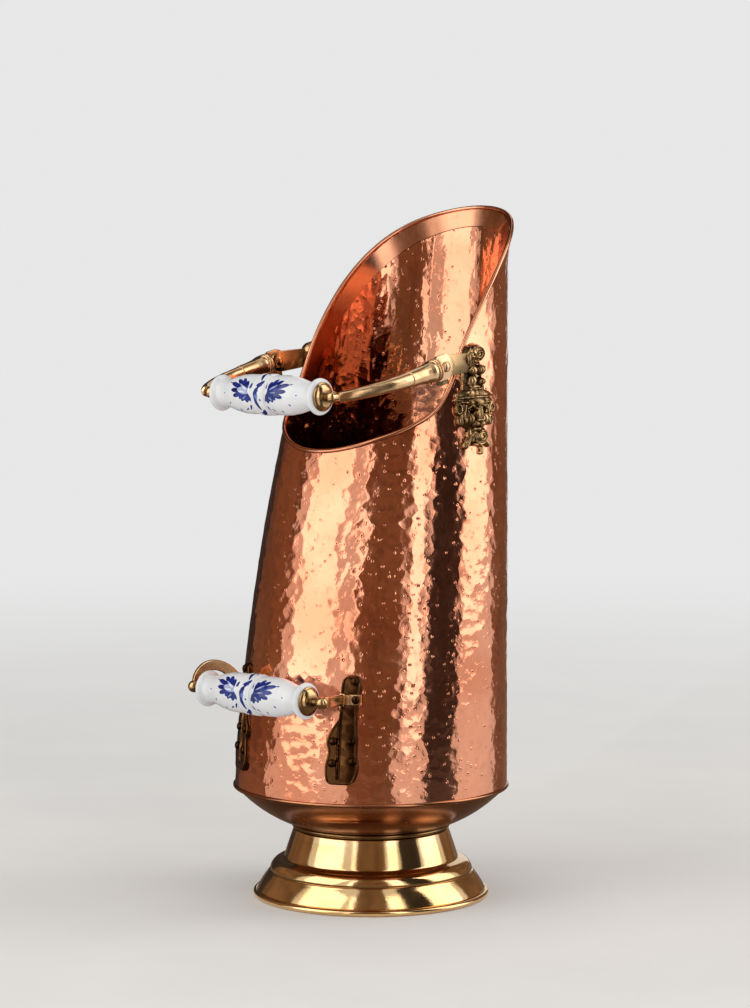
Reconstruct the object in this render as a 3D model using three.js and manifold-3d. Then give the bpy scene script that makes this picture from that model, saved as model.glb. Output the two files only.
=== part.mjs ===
// A helmet-mouthed coal scuttle: hammered copper body on a spun brass foot, a swinging bail
// with a porcelain grip hung on two cast mounts, and a fixed porcelain tipping handle low down.
// Millimetres, +Z up. The tall pouring lip is at +Y, both handles are at -Y.
import * as THREE from "three";
import Module from "manifold-3d";

const wasm = await Module();
wasm.setup();

// ---------------------------------------------------------------- driving dimensions

const GAP = 0.3; // clearance left between neighbouring pieces
const SHEET = 1.4; // copper sheet of the body
const SPUN = 1.6; // spun copper and brass of the dish and the foot

// The foot, a hollow spinning.
const FOOT_R = 95.4; // outside of the rolled edge
const FOOT_EDGE_H = 4.8; // height of the rolled edge
const FOOT_FLAT_IN = 81; // inner edge of the flat underside
const SKIRT_TOP_R = 82.4;
const SKIRT_TOP_Z = 20;
const CONE_LOW_R = 69.8;
const CONE_LOW_Z = 32.2;
const CONE_TOP_R = 62.6;
const FOOT_TOP_Z = 54.8;

// The ring between foot and dish.
const NECK_R = 63.8;
const NECK_BORE_R = 20;
const NECK_H = 3.6;

// The dish and the seam where the body stands on it.
const DISH_FLAT_R = 64.2;
const DISH_BELLY = [90, 68.6]; // control point of the dish curve: radius, height
const SEAM_Z = 90;
const SEAM_R = 109.8; // body radius at the seam
const SEAM_BEAD_R = 1.7;
const SEAM_BEAD_IN = 0.2; // the bead's middle lies this far inside the body's surface
const SPIGOT_H = 9; // part of the dish that stands up inside the body

// The body's section is a circle between a front and a back wall line.
const FRONT_SLOPE = 0.0767;
const FRONT_CURVE = 3.25e-4;
const BACK_SLOPE = 0.018;
const BACK_CURVE = 6.5e-5;
const STRAIGHT_FROM = 313; // height above the seam from which both walls run straight
const FLARE = 5; // outward turn of the pouring lip
const FLARE_DEPTH = 34;

// The mouth: height of the rim for each distance from the foot's axis.
const MOUTH = [
  [-76, 353.5], [-50, 369], [-28, 380.5], [-8, 394.5], [6, 415], [22, 446],
  [40, 472], [62, 498], [86, 521.5], [108, 539], [134, 555],
];
const RIM_WIRE_R = 1.8;
const HEM_W = 15; // smooth band inside the mouth
const HEM_T = 0.8;

// Bail: pivots, length, tilt at rest.
const PIVOT_Y = -15;
const PIVOT_Z = 428.7;
const BAIL_LENGTH = 102.7;
const BAIL_TILT = THREE.MathUtils.degToRad(11.8);
const EAR_CLEAR = 1.3; // from the body's side at the pivot's height to the ear
const EAR_T = 2.8;
const EAR_R = 8.6;
const EAR_REACH = 38; // from the pivot back into the mount
const EAR_DROP = THREE.MathUtils.degToRad(7); // the ear falls away from the bail's own line
const EAR_TAPER = 1.4; // the ear's root is this much slimmer on each side
const FORK_T = 2.6;
const FORK_R = 10;
const STOP_H = 3; // height of the lug the fork rests on
const STOP_W = 9;
const STOP_BACK = 1; // the lug begins this far behind the pivot
const SOCKET_START = 10.4; // distance from the pivot to the socket's end
const SOCKET_END = 43;
const SOCKET_R = 9;
const ARM_INSERT = 27; // where the tube begins inside the socket
const ARM_R_SOCKET = 6;
const ARM_R_GRIP = 4.2;
const ARM_STRAIGHT = 0.65; // share of the bail's length at which the bend's first handle stands
const ARM_CORNER = 11; // the bend's second handle stands this far inside the fork

// Both porcelain grips.
const GRIP_HALF = 54.5;
const GRIP_FLANGE_R = 14.3;
const GRIP_FLANGE_W = 4.6;
const GRIP_NECK_R = 10.6;
const GRIP_NECK_AT = 10.5; // from the end to the neck's waist
const GRIP_BULGE_R = 15.6;
const GRIP_BULGE_AT = 38; // from the end to the widest part of a bulge
const GRIP_BELT_R = 16.2;
const GRIP_BELT_HALF = 5.6;
const GRIP_GROOVE = 0.9; // depth of the groove beside the belt
const GRIP_BORE_R = 3.6;
const ROD_R = 2.6;
const ROD_PAST = 1.6; // the rod ends this far past the middle of a ball
const CAP_R = 11.3;
const CAP_H = 5;
const CAP_NECK = 0.34; // the cap's neck, as a share of its radius
const BALL_R = 4.8;
const BAIL_BALL_X = 64.9;

// Tipping handle.
const TIP_Y = -132;
const TIP_Z = 175.8;
const TIP_BALL_X = 68.9;
const TIP_BAR_H = 8.6;
const TIP_BAR_T = 3.4;
const TIP_FOOT_ANGLE = [27.6, 36.6]; // degrees round the body from the -Y side
const TIP_FOOT_Z = 172.7;
const TIP_FOOT_T = 2.4;
const TIP_FOOT_RIVET = 34.2; // degrees round the body from the -Y side
const KNUCKLE_T = 3; // the step where a bar meets its foot
const KNUCKLE_W = 4.5; // the step's width along the body
const KNUCKLE_RISE = 1; // the step stands this far above and below the bar
// The bars on their way to the body: rise, shares of the way at which the curve's two handles
// stand, and outward bow. The -X bar climbs steeply and then slopes down.
const NEAR_BAR = { rise: 0, early: 0.3, late: 0.72, bow: 1.6 };
const FAR_BAR = { rise: 19, early: 0.15, late: 0.8, bow: 2.9 };

// Brackets of the tipping handle: [height over the bar's foot, left edge, right edge] in mm and degrees.
const BRACKET_EDGE = [
  [-66.5, 24.6, 33.6], [-62.5, 23, 35.4], [-52.5, 22.6, 36.6], [-40.5, 23.6, 36], [-32.5, 22.6, 36],
  [-23.5, 24.8, 35.6], [-15.5, 27, 35.4], [-3.5, 27.6, 35.4], [10.5, 27.8, 36.2], [18.5, 29, 35],
];
const BRACKET_T = 2.2;
const BRACKET_RIB = [27.9, -60.5, -6.5]; // angle, from, to
const BRACKET_RIB_H = 1.7;
const BRACKET_RIB_W = 2.6; // half width
const BRACKET_RIVETS = [
  // angle, height
  [33.2, 13.5], [25.6, -32.5], [33, -32.5], [25.6, -49.5], [34, -48],
];

// Mounts: [height over the pivot, half width] of the outline.
const MOUNT_ANGLE = 82.5; // degrees round the body at the pivot's height
const MOUNT_LEAN = 0.05; // the mount's middle moves back by this share of the way down
const MOUNT_EDGE = [
  [-69.5, 2.6], [-66.5, 5], [-63.5, 13], [-59, 14.6], [-52.5, 12.6], [-45.5, 15], [-39.5, 20.6],
  [-32.5, 21.4], [-26.5, 20.6], [-21.5, 14], [-17.5, 11.5], [-9.5, 12.2], [-1.5, 11.4], [2.5, 9.6],
  [8.5, 10], [12.5, 8.2], [16, 3.4],
];
const MOUNT_EDGE_T = 3.2;
const MOUNT_LIFT = 1.6; // the back stands clear of the rim wire where it passes over the rim
const MOUNT_LIFT_FROM = -14; // height over the rim at which the lift begins
const MOUNT_LIFT_TO = -7;
const MOUNT_RIVET_H = [-55.5, -28.5]; // heights over the pivot
const MOUNT_RIVET_DEPTH = 3.4; // how far the hidden rivets reach into a mount
const MOUNT_BULGES = [
  // across, height over the pivot, half width, half height, relief
  [0, 7, 8.6, 8.4, 5.2], [-5, -10.5, 5.6, 6.4, 5.2], [5, -12.5, 5.6, 6.4, 5.2],
  [0, -27.5, 17, 6, 3.4], [0, -36.5, 15.5, 14, 7.2], [0, -41.5, 5, 6, 3.4], [3, -57.5, 9, 8.5, 5],
  [-8, -60.5, 6, 8, 3],
];

// Rivets.
const RIVET_R = 1.6;
const RIVET_HEAD_R = 3.3;
const RIVET_HEAD_H = 1.9;
const TAIL_R = 2.7;
const TAIL_H = 1.1;
const PIVOT_R = 2.4;
const PIVOT_HEAD_R = 4.3;
const PIVOT_HEAD_H = 2.6;
const PIVOT_TAIL_R = 3.8;
const PIVOT_TAIL_H = 1.4;
const HEAD_EDGE = 0.5; // straight edge below a dome
const BURIED_HEAD_H = 1.7; // heads of the hidden rivets inside the body

// Facets.
const ROUND_SEGMENTS = 48; // round the body, dish and foot
const WALL_ROWS = 6; // below the turned lip
const LIP_ROWS = 4;
const SMALL_SEGMENTS = 8; // round a rivet
const MIDDLE_SEGMENTS = 14; // round a socket, a cap, a ball
const DOME_STEPS = 3;
const MOUNT_ROWS = 18;
const THROUGH = 20; // a cutting tool runs this far past what it cuts
const FACET_SAG = SEAM_R * (1 - Math.cos(Math.PI / ROUND_SEGMENTS)); // wall facets lie this far inward

const COPPER = { color: 0xc87a55, roughness: 0.24, metalness: 1 };
const SMOOTH_COPPER = { color: 0xbf6f4a, roughness: 0.16, metalness: 1 };
const BRASS = { color: 0xc9a25a, roughness: 0.14, metalness: 1 };
const AGED_BRASS = { color: 0xa08048, roughness: 0.32, metalness: 1 };
const DARK_BRASS = { color: 0x6b5530, roughness: 0.42, metalness: 1 };
const BROWN_BRASS = { color: 0x6e4526, roughness: 0.4, metalness: 1 };
const PORCELAIN = { color: 0xeef0f2, roughness: 0.08, metalness: 0 };

// ---------------------------------------------------------------- solids

const rad = THREE.MathUtils.degToRad;
const vec = (x, y, z) => new THREE.Vector3(x, y, z);

// A closed surface from points and triangles, turned to face outward.
function surface(points, tris) {
  let volume = 0;
  for (const [a, b, c] of tris)
    volume += points[a].dot(points[b].clone().cross(points[c]));
  const index = [];
  for (const [a, b, c] of tris) index.push(...(volume < 0 ? [a, c, b] : [a, b, c]));
  const g = new THREE.BufferGeometry();
  g.setFromPoints(points);
  g.setIndex(index);
  return g;
}

// Skin over a row of loops. The row closes on itself, or each end is closed across the loop.
function skin(loops, closed) {
  const n = loops[0].length;
  const points = loops.flat();
  const tris = [];
  const last = closed ? loops.length : loops.length - 1;
  for (let i = 0; i < last; i++) {
    const a = i * n;
    const b = ((i + 1) % loops.length) * n;
    for (let k = 0; k < n; k++) {
      const m = (k + 1) % n;
      tris.push([a + k, a + m, b + m], [a + k, b + m, b + k]);
    }
  }
  if (!closed) {
    const end = (base, flip) => {
      for (let k = 0; k < n / 2 - 1; k++) {
        const quad = [base + k, base + k + 1, base + n - 2 - k, base + n - 1 - k];
        const pair = [[quad[0], quad[1], quad[2]], [quad[0], quad[2], quad[3]]];
        for (const t of pair)
          if (new Set(t).size === 3) tris.push(flip ? [t[0], t[2], t[1]] : t);
      }
    };
    end(0, true);
    end((loops.length - 1) * n, false);
  }
  return surface(points, tris);
}

// A profile of [radius, height] turned about Z. It starts and ends on the axis, or closes.
function turned(profile, segments = ROUND_SEGMENTS) {
  const onAxis = profile[0][0] === 0;
  const points = [];
  const rings = profile.map(([r, h]) => {
    if (r === 0) {
      points.push(vec(0, 0, h));
      return new Array(segments).fill(points.length - 1);
    }
    const ring = [];
    for (let k = 0; k < segments; k++) {
      const t = (2 * Math.PI * k) / segments;
      points.push(vec(r * Math.cos(t), r * Math.sin(t), h));
      ring.push(points.length - 1);
    }
    return ring;
  });
  const tris = [];
  const steps = onAxis ? rings.length - 1 : rings.length;
  for (let i = 0; i < steps; i++) {
    const a = rings[i];
    const b = rings[(i + 1) % rings.length];
    for (let k = 0; k < segments; k++) {
      const m = (k + 1) % segments;
      for (const t of [[a[k], a[m], b[m]], [a[k], b[m], b[k]]])
        if (new Set(t).size === 3) tris.push(t);
    }
  }
  return surface(points, tris);
}

// Points of an arc of a circle in a profile, angles in degrees.
function arc(r, h, size, from, to, steps) {
  const out = [];
  for (let i = 0; i <= steps; i++) {
    const t = rad(from + ((to - from) * i) / steps);
    out.push([r + size * Math.cos(t), h + size * Math.sin(t)]);
  }
  return out;
}

// Moves a geometry so that its Z axis lies along a direction at a point.
function placed(g, at, along) {
  const turn = new THREE.Quaternion().setFromUnitVectors(vec(0, 0, 1), along.clone().normalize());
  return g.applyQuaternion(turn).translate(at.x, at.y, at.z);
}

function solid(g) {
  return new wasm.Manifold(
    new wasm.Mesh({
      numProp: 3,
      vertProperties: new Float32Array(g.getAttribute("position").array),
      triVerts: new Uint32Array(g.index.array),
    }),
  );
}

function geometryOf(s) {
  const mesh = s.getMesh();
  const g = new THREE.BufferGeometry();
  g.setAttribute("position", new THREE.BufferAttribute(new Float32Array(mesh.vertProperties), 3));
  g.setIndex(Array.from(mesh.triVerts));
  return g;
}

function cut(g, tools) {
  return geometryOf(tools.reduce((s, t) => s.subtract(solid(t)), solid(g)));
}

function joined(list) {
  return geometryOf(list.map(solid).reduce((s, t) => s.add(t)));
}

// The mirror image of a geometry across X = 0.
function mirrored(g) {
  const out = g.clone();
  const p = out.getAttribute("position");
  for (let i = 0; i < p.count; i++) p.setX(i, -p.getX(i));
  const index = Array.from(g.index.array);
  for (let i = 0; i < index.length; i += 3)
    [index[i + 1], index[i + 2]] = [index[i + 2], index[i + 1]];
  out.setIndex(index);
  return out;
}

const scuttle = new THREE.Group();

function add(name, geometry, finish) {
  const g = geometry.index ? geometry : geometry.clone();
  g.computeVertexNormals();
  const mesh = new THREE.Mesh(g, new THREE.MeshStandardMaterial(finish));
  mesh.name = name;
  scuttle.add(mesh);
}

// One piece on each side: the same shape, mirrored.
function addPair(name, geometry, finish) {
  add(name + "_right", geometry, finish);
  add(name + "_left", mirrored(geometry), finish);
}

// A smooth curve through [x, y] pairs.
function through(pairs, x) {
  const n = pairs.length;
  const slope = (i) => {
    const a = pairs[Math.max(i - 1, 0)];
    const b = pairs[Math.min(i + 1, n - 1)];
    return (b[1] - a[1]) / (b[0] - a[0]);
  };
  if (x <= pairs[0][0]) return pairs[0][1] + slope(0) * (x - pairs[0][0]);
  if (x >= pairs[n - 1][0]) return pairs[n - 1][1] + slope(n - 1) * (x - pairs[n - 1][0]);
  const i = pairs.findIndex((p) => p[0] > x) - 1;
  const w = pairs[i + 1][0] - pairs[i][0];
  const t = (x - pairs[i][0]) / w;
  const t2 = t * t;
  const t3 = t2 * t;
  return (
    (2 * t3 - 3 * t2 + 1) * pairs[i][1] +
    (t3 - 2 * t2 + t) * w * slope(i) +
    (3 * t2 - 2 * t3) * pairs[i + 1][1] +
    (t3 - t2) * w * slope(i + 1)
  );
}

// Straight lines through rows of [height, left, right].
function rowAt(rows, z, column) {
  const last = rows.length - 1;
  if (z <= rows[0][0]) return rows[0][column];
  if (z >= rows[last][0]) return rows[last][column];
  const i = rows.findIndex((p) => p[0] > z) - 1;
  const t = (z - rows[i][0]) / (rows[i + 1][0] - rows[i][0]);
  return rows[i][column] + t * (rows[i + 1][column] - rows[i][column]);
}

// ---------------------------------------------------------------- the body's wall

function wallLine(start, slope, curve, z) {
  const u = z - SEAM_Z;
  const bent = Math.min(u, STRAIGHT_FROM);
  return start + slope * bent + curve * bent * bent + (u - bent) * (slope + 2 * curve * bent);
}

function section(z) {
  const front = wallLine(-SEAM_R, FRONT_SLOPE, FRONT_CURVE, z);
  const back = wallLine(SEAM_R, BACK_SLOPE, BACK_CURVE, z);
  return { centre: (front + back) / 2, radius: (back - front) / 2 };
}

const mouth = (y) => through(MOUTH, y);

// Height of the rim at an angle (radians) round the body from its -Y side.
function rimHeight(angle) {
  let z = mouth(0);
  for (let i = 0; i < 80; i++) {
    const s = section(z);
    z = 0.5 * (z + mouth(s.centre - s.radius * Math.cos(angle)));
  }
  return z;
}

// A point of the wall's outside, moved outward by a distance.
function wall(angle, z, out) {
  const s = section(z);
  const lip = THREE.MathUtils.clamp(1 - (rimHeight(angle) - z) / FLARE_DEPTH, 0, 1.2);
  const turn = FLARE * lip * lip * Math.pow((1 - Math.cos(angle)) / 2, 2);
  const r = s.radius + turn + out;
  return vec(r * Math.sin(angle), s.centre - r * Math.cos(angle), z);
}

// Outward normal of the wall.
function wallNormal(angle, z) {
  const across = wall(angle + 0.01, z, 0).sub(wall(angle - 0.01, z, 0));
  const up = wall(angle, z + 1, 0).sub(wall(angle, z - 1, 0));
  return across.cross(up).normalize();
}

function angleOf(p) {
  return Math.atan2(p.x, section(p.z).centre - p.y);
}

// Holes for rivets, gathered while the pieces that carry them are made.
const wallHoles = [];

// A round cutter along a direction, between two distances from a point.
function hole(at, along, radius, from, to) {
  const g = turned([[0, from], [radius, from], [radius, to], [0, to]], SMALL_SEGMENTS);
  return placed(g, at, along);
}

// ---------------------------------------------------------------- rivets

// A rivet whose head rests on a face, with its tail beyond the grip length.
function rivet(at, along, grip, size = {}) {
  const { r = RIVET_R, headR = RIVET_HEAD_R, headH = RIVET_HEAD_H } = size;
  const { tailR = TAIL_R, tailH = TAIL_H } = size;
  const dome = [];
  for (let i = 0; i <= DOME_STEPS; i++) {
    const t = (Math.PI / 2) * (i / DOME_STEPS);
    dome.push([headR * Math.sin(t), GAP + HEAD_EDGE + (headH - HEAD_EDGE) * Math.cos(t)]);
  }
  dome[0][0] = 0;
  const end = -grip - GAP - FACET_SAG;
  const shank = [[headR, GAP], [r, GAP], [r, end], [tailR, end], [tailR, end - tailH], [0, end - tailH]];
  return placed(turned([...dome, ...shank], SMALL_SEGMENTS), at, along);
}

// ---------------------------------------------------------------- foot, neck, dish

const edgeR = FOOT_EDGE_H / 2;
const footSkin = [
  [FOOT_FLAT_IN, 0],
  ...arc(FOOT_R - edgeR, edgeR, edgeR, -90, 120, 5),
  [(SKIRT_TOP_R + FOOT_R) / 2 + 1.1, SKIRT_TOP_Z * 0.56],
  [SKIRT_TOP_R + 0.6, SKIRT_TOP_Z - 0.9],
  [SKIRT_TOP_R - 0.4, SKIRT_TOP_Z + 0.2],
  [SKIRT_TOP_R - 2.4, SKIRT_TOP_Z + 0.9],
  [SKIRT_TOP_R - 5.2, SKIRT_TOP_Z + 4.6],
  [CONE_LOW_R + 3.6, CONE_LOW_Z - 3],
  [CONE_LOW_R + 0.8, CONE_LOW_Z - 1.1],
  [CONE_LOW_R, CONE_LOW_Z],
  [CONE_TOP_R + 3.2, (CONE_LOW_Z + FOOT_TOP_Z) / 2 + 1.4],
  [CONE_TOP_R, FOOT_TOP_Z - 0.8],
  [CONE_TOP_R - 0.9, FOOT_TOP_Z],
  [0, FOOT_TOP_Z],
];
const footInside = [
  [0, FOOT_TOP_Z - SPUN],
  [CONE_TOP_R - SPUN - 0.8, FOOT_TOP_Z - SPUN],
  [CONE_TOP_R + 3.2 - SPUN, (CONE_LOW_Z + FOOT_TOP_Z) / 2 + 1],
  [CONE_LOW_R - SPUN - 0.1, CONE_LOW_Z - 1],
  [CONE_LOW_R + 1.4, CONE_LOW_Z - 4],
  [SKIRT_TOP_R - 6.6, SKIRT_TOP_Z + 3.2],
  [SKIRT_TOP_R - 2.4, SKIRT_TOP_Z - 1.6],
  [FOOT_R - edgeR - 2.2, FOOT_EDGE_H + 0.2],
  [FOOT_R - edgeR - 2.2, SPUN],
  [FOOT_FLAT_IN, SPUN],
];
add("foot", footGeometry(), BRASS);

// The foot's skin and inside meet at the inner edge of the flat underside.
function footGeometry() {
  const outer = footSkin.slice(0, -1);
  const loop = [[0, FOOT_TOP_Z], ...outer.reverse(), ...footInside.slice(1).reverse()];
  return turned([...loop, [0, FOOT_TOP_Z - SPUN]]);
}

const neckZ = FOOT_TOP_Z + GAP;
const neckMid = neckZ + NECK_H / 2;
add(
  "neck_ring",
  turned([
    [NECK_BORE_R, neckZ],
    ...arc(NECK_R - NECK_H / 2, neckMid, NECK_H / 2, -90, 90, 4),
    [NECK_BORE_R, neckZ + NECK_H],
  ]),
  BRASS,
);

const dishZ = neckZ + NECK_H + GAP;
const seamLow = SEAM_Z - SEAM_BEAD_R;
const seamHigh = SEAM_Z + SEAM_BEAD_R;
const bodyBottom = seamHigh + GAP;

// The spigot leans in as the body's front wall does.
const spigotAt = (z) => -wallLine(-SEAM_R, FRONT_SLOPE, FRONT_CURVE, z) - SHEET - GAP;
const spigotTop = bodyBottom + SPIGOT_H;

// The dish's side as a curve, moved inward by a thickness.
function dishCurve(inset) {
  const a = new THREE.Vector2(DISH_FLAT_R, dishZ);
  const b = new THREE.Vector2(...DISH_BELLY);
  const c = new THREE.Vector2(SEAM_R - SEAM_BEAD_R, seamLow);
  const curve = new THREE.QuadraticBezierCurve(a, b, c);
  const out = [];
  for (let i = 0; i <= 6; i++) {
    const p = curve.getPoint(i / 6);
    const d = curve.getTangent(i / 6);
    out.push([p.x - inset * d.y, p.y + inset * d.x]);
  }
  return out;
}

const seamBead = arc(SEAM_R - SEAM_BEAD_IN, SEAM_Z, SEAM_BEAD_R, -80, 90, 4);
add(
  "base_dish",
  turned([
    [0, dishZ],
    ...dishCurve(0),
    ...seamBead,
    [spigotAt(seamHigh), seamHigh],
    [spigotAt(spigotTop), spigotTop],
    [spigotAt(spigotTop) - SPUN, spigotTop],
    [spigotAt(spigotTop) - SPUN, seamLow],
    ...dishCurve(SPUN).reverse().slice(1),
    [0, dishZ + SPUN],
  ]),
  SMOOTH_COPPER,
);

// ---------------------------------------------------------------- rim

const rimAngles = Array.from({ length: ROUND_SEGMENTS }, (_, i) => (2 * Math.PI * i) / ROUND_SEGMENTS);

// Centre of the sheet's edge, and the direction that leads off the edge within the wall.
function rimStation(angle) {
  const at = (a) => wall(a, rimHeight(a), -SHEET / 2);
  const along = at(angle + 0.01).sub(at(angle - 0.01)).normalize();
  const off = wallNormal(angle, rimHeight(angle)).cross(along).normalize();
  if (off.z < 0) off.negate();
  return { edge: at(angle), along, off };
}

const wireLoops = rimAngles.map((angle) => {
  const { edge, along, off } = rimStation(angle);
  const centre = edge.addScaledVector(off, RIM_WIRE_R + GAP);
  const side = off.clone().cross(along);
  const loop = [];
  for (let k = 0; k < SMALL_SEGMENTS; k++) {
    const t = (2 * Math.PI * k) / SMALL_SEGMENTS;
    const p = centre.clone().addScaledVector(off, RIM_WIRE_R * Math.cos(t));
    loop.push(p.addScaledVector(side, RIM_WIRE_R * Math.sin(t)));
  }
  return loop;
});
add("rim_wire", skin(wireLoops, true), SMOOTH_COPPER);

// The hem lies against the inside of the wall.
const hemLoops = rimAngles.map((angle) => {
  const { edge, off } = rimStation(angle);
  const at = (down, out) => {
    const p = edge.clone().addScaledVector(off, -down);
    return wall(angleOf(p), p.z, out);
  };
  const faceOut = -SHEET - GAP;
  const faceIn = faceOut - HEM_T;
  const down = [0.4, HEM_W / 2, HEM_W];
  return [...down.map((d) => at(d, faceOut)), ...down.reverse().map((d) => at(d, faceIn))];
});
add("mouth_hem", skin(hemLoops, true), SMOOTH_COPPER);

// ---------------------------------------------------------------- plates that follow the wall

// A plate between two edges, with its back and front given as distances from the wall.
function draped(rows, columns, edges, back, front) {
  const loops = rows.map((z) => {
    const [left, right] = edges(z);
    const angles = Array.from({ length: columns + 1 }, (_, i) => left + ((right - left) * i) / columns);
    const face = angles.map((a) => wall(a, z, front(a, z)));
    const rear = angles.map((a) => wall(a, z, back(a, z))).reverse();
    return [...face, ...rear];
  });
  return skin(loops, false);
}

function rowsBetween(from, to, count) {
  return Array.from({ length: count + 1 }, (_, i) => from + ((to - from) * i) / count);
}

// Brackets of the tipping handle.
const bracketBottom = TIP_FOOT_Z + BRACKET_EDGE[0][0];
const bracketTop = TIP_FOOT_Z + BRACKET_EDGE[BRACKET_EDGE.length - 1][0];
const bracketHoles = [];
const bracketRivets = BRACKET_RIVETS.map(([degrees, height]) => {
  const angle = rad(degrees);
  const z = TIP_FOOT_Z + height;
  const face = wall(angle, z, GAP + BRACKET_T);
  const along = wallNormal(angle, z);
  const grip = BRACKET_T + GAP + SHEET;
  const opening = hole(face, along, RIVET_R + GAP, -grip - THROUGH, THROUGH);
  bracketHoles.push(opening);
  wallHoles.push(opening, mirrored(opening));
  return rivet(face, along, grip);
});
const armRivetAngle = rad(TIP_FOOT_RIVET);
const armFootBack = GAP + BRACKET_T + GAP;
const armFootFront = armFootBack + TIP_FOOT_T;
const armRivetFace = wall(armRivetAngle, TIP_FOOT_Z, armFootFront);
const armRivetAlong = wallNormal(armRivetAngle, TIP_FOOT_Z);
const armRivetGrip = armFootFront + SHEET;
const armRivetHole = hole(armRivetFace, armRivetAlong, RIVET_R + GAP, -armRivetGrip - THROUGH, THROUGH);
wallHoles.push(armRivetHole, mirrored(armRivetHole));

function bracketFront(angle, z) {
  const [ribAngle, ribFrom, ribTo] = BRACKET_RIB;
  const across = Math.abs(angle - rad(ribAngle)) * section(z).radius;
  const inside = z > TIP_FOOT_Z + ribFrom && z < TIP_FOOT_Z + ribTo;
  const rib = inside ? Math.max(0, 1 - across / BRACKET_RIB_W) * BRACKET_RIB_H : 0;
  return GAP + BRACKET_T + rib;
}

const bracket = draped(
  rowsBetween(bracketBottom, bracketTop, 11),
  4,
  (z) => [1, 2].map((column) => rad(rowAt(BRACKET_EDGE, z - TIP_FOOT_Z, column))),
  () => GAP,
  bracketFront,
);
addPair("tip_bracket", cut(bracket, [...bracketHoles, armRivetHole]), BROWN_BRASS);
bracketRivets.forEach((g, i) => addPair("tip_bracket_rivet_" + (i + 1), g, BROWN_BRASS));

// ---------------------------------------------------------------- bail geometry

const earX = section(PIVOT_Z).radius + EAR_CLEAR;
const forkX = earX + EAR_T + GAP;
const bailX = forkX + FORK_T / 2;
const pivot = vec(bailX, PIVOT_Y, PIVOT_Z);
const bailAlong = vec(0, -Math.cos(BAIL_TILT), -Math.sin(BAIL_TILT));
const bailUp = vec(0, -Math.sin(BAIL_TILT), Math.cos(BAIL_TILT));
const bailAt = (x, d, up = 0) =>
  vec(x, PIVOT_Y, PIVOT_Z).addScaledVector(bailAlong, d).addScaledVector(bailUp, up);

// Half a circle about the pivot, as an outline of [distance along the bail, up].
function halfRound(radius, from, turn, steps = 10) {
  return arc(0, 0, radius, from, from + turn, steps);
}

// A flat plate lying across X, from an outline of [distance along the bail, up].
function platePiece(outline, x, thickness) {
  const flat = outline.map(([d, up]) => new THREE.Vector2(d, up));
  if (THREE.ShapeUtils.isClockWise(flat)) flat.reverse();
  const loop = (at) => flat.map((p) => bailAt(at, p.x, p.y));
  const n = flat.length;
  const points = [...loop(x), ...loop(x + thickness)];
  const tris = [];
  for (const [a, b, c] of THREE.ShapeUtils.triangulateShape(flat, []))
    tris.push([a, c, b], [n + a, n + b, n + c]);
  for (let k = 0; k < n; k++) {
    const m = (k + 1) % n;
    tris.push([k, m, n + m], [k, n + m, n + k]);
  }
  return surface(points, tris);
}

// ---------------------------------------------------------------- mounts

function mountMiddle(z) {
  return rad(MOUNT_ANGLE) + (MOUNT_LEAN * (PIVOT_Z - z)) / section(z).radius;
}

function mountFront(angle, z) {
  const across = (angle - mountMiddle(z)) * section(z).radius;
  let relief = 0;
  for (const [u, v, w, h, size] of MOUNT_BULGES) {
    const d = ((across - u) / w) ** 2 + ((z - PIVOT_Z - v) / h) ** 2;
    if (d < 1) relief = Math.max(relief, size * Math.sqrt(1 - d));
  }
  return mountBack(angle, z) + MOUNT_EDGE_T + relief;
}

function mountBack(angle, z) {
  const s = section(z);
  const overRim = z - mouth(s.centre - s.radius * Math.cos(angle));
  const near = THREE.MathUtils.smoothstep(overRim, MOUNT_LIFT_FROM, MOUNT_LIFT_TO);
  return GAP + MOUNT_LIFT * near;
}

const mountShape = draped(
  rowsBetween(PIVOT_Z + MOUNT_EDGE[0][0], PIVOT_Z + MOUNT_EDGE[MOUNT_EDGE.length - 1][0], MOUNT_ROWS),
  6,
  (z) => {
    const half = rowAt(MOUNT_EDGE, z - PIVOT_Z, 1) / section(z).radius;
    return [mountMiddle(z) - half, mountMiddle(z) + half];
  },
  mountBack,
  mountFront,
);

// The ear runs from the mount forward to the pivot, and carries the lug the fork rests on.
const earOutline = halfRound(EAR_R, 90 + THREE.MathUtils.radToDeg(EAR_DROP), -180);
const earBack = [-Math.cos(EAR_DROP) * EAR_REACH, -Math.sin(EAR_DROP) * EAR_REACH];
const earHalf = EAR_R - EAR_TAPER;
const earLow = [Math.sin(EAR_DROP) * earHalf, -Math.cos(EAR_DROP) * earHalf];
earOutline.push([earBack[0] + earLow[0], earBack[1] + earLow[1]]);
earOutline.push([earBack[0] - earLow[0], earBack[1] - earLow[1]]);
const stopTop = -FORK_R - GAP;
const stopFront = STOP_W - STOP_BACK;
const stopFoot = [[-STOP_BACK, stopTop - STOP_H], [stopFront, stopTop - STOP_H]];
const stopOutline = [[-STOP_BACK, stopTop], ...stopFoot, [stopFront, stopTop]];
const stopStem = [[-STOP_BACK, -EAR_R / 2], ...stopFoot, [stopFront - EAR_TAPER, -EAR_R / 2]];
const pivotBore = hole(pivot, vec(1, 0, 0), PIVOT_R + GAP, -THROUGH, THROUGH);
const mountTools = [];
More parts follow.
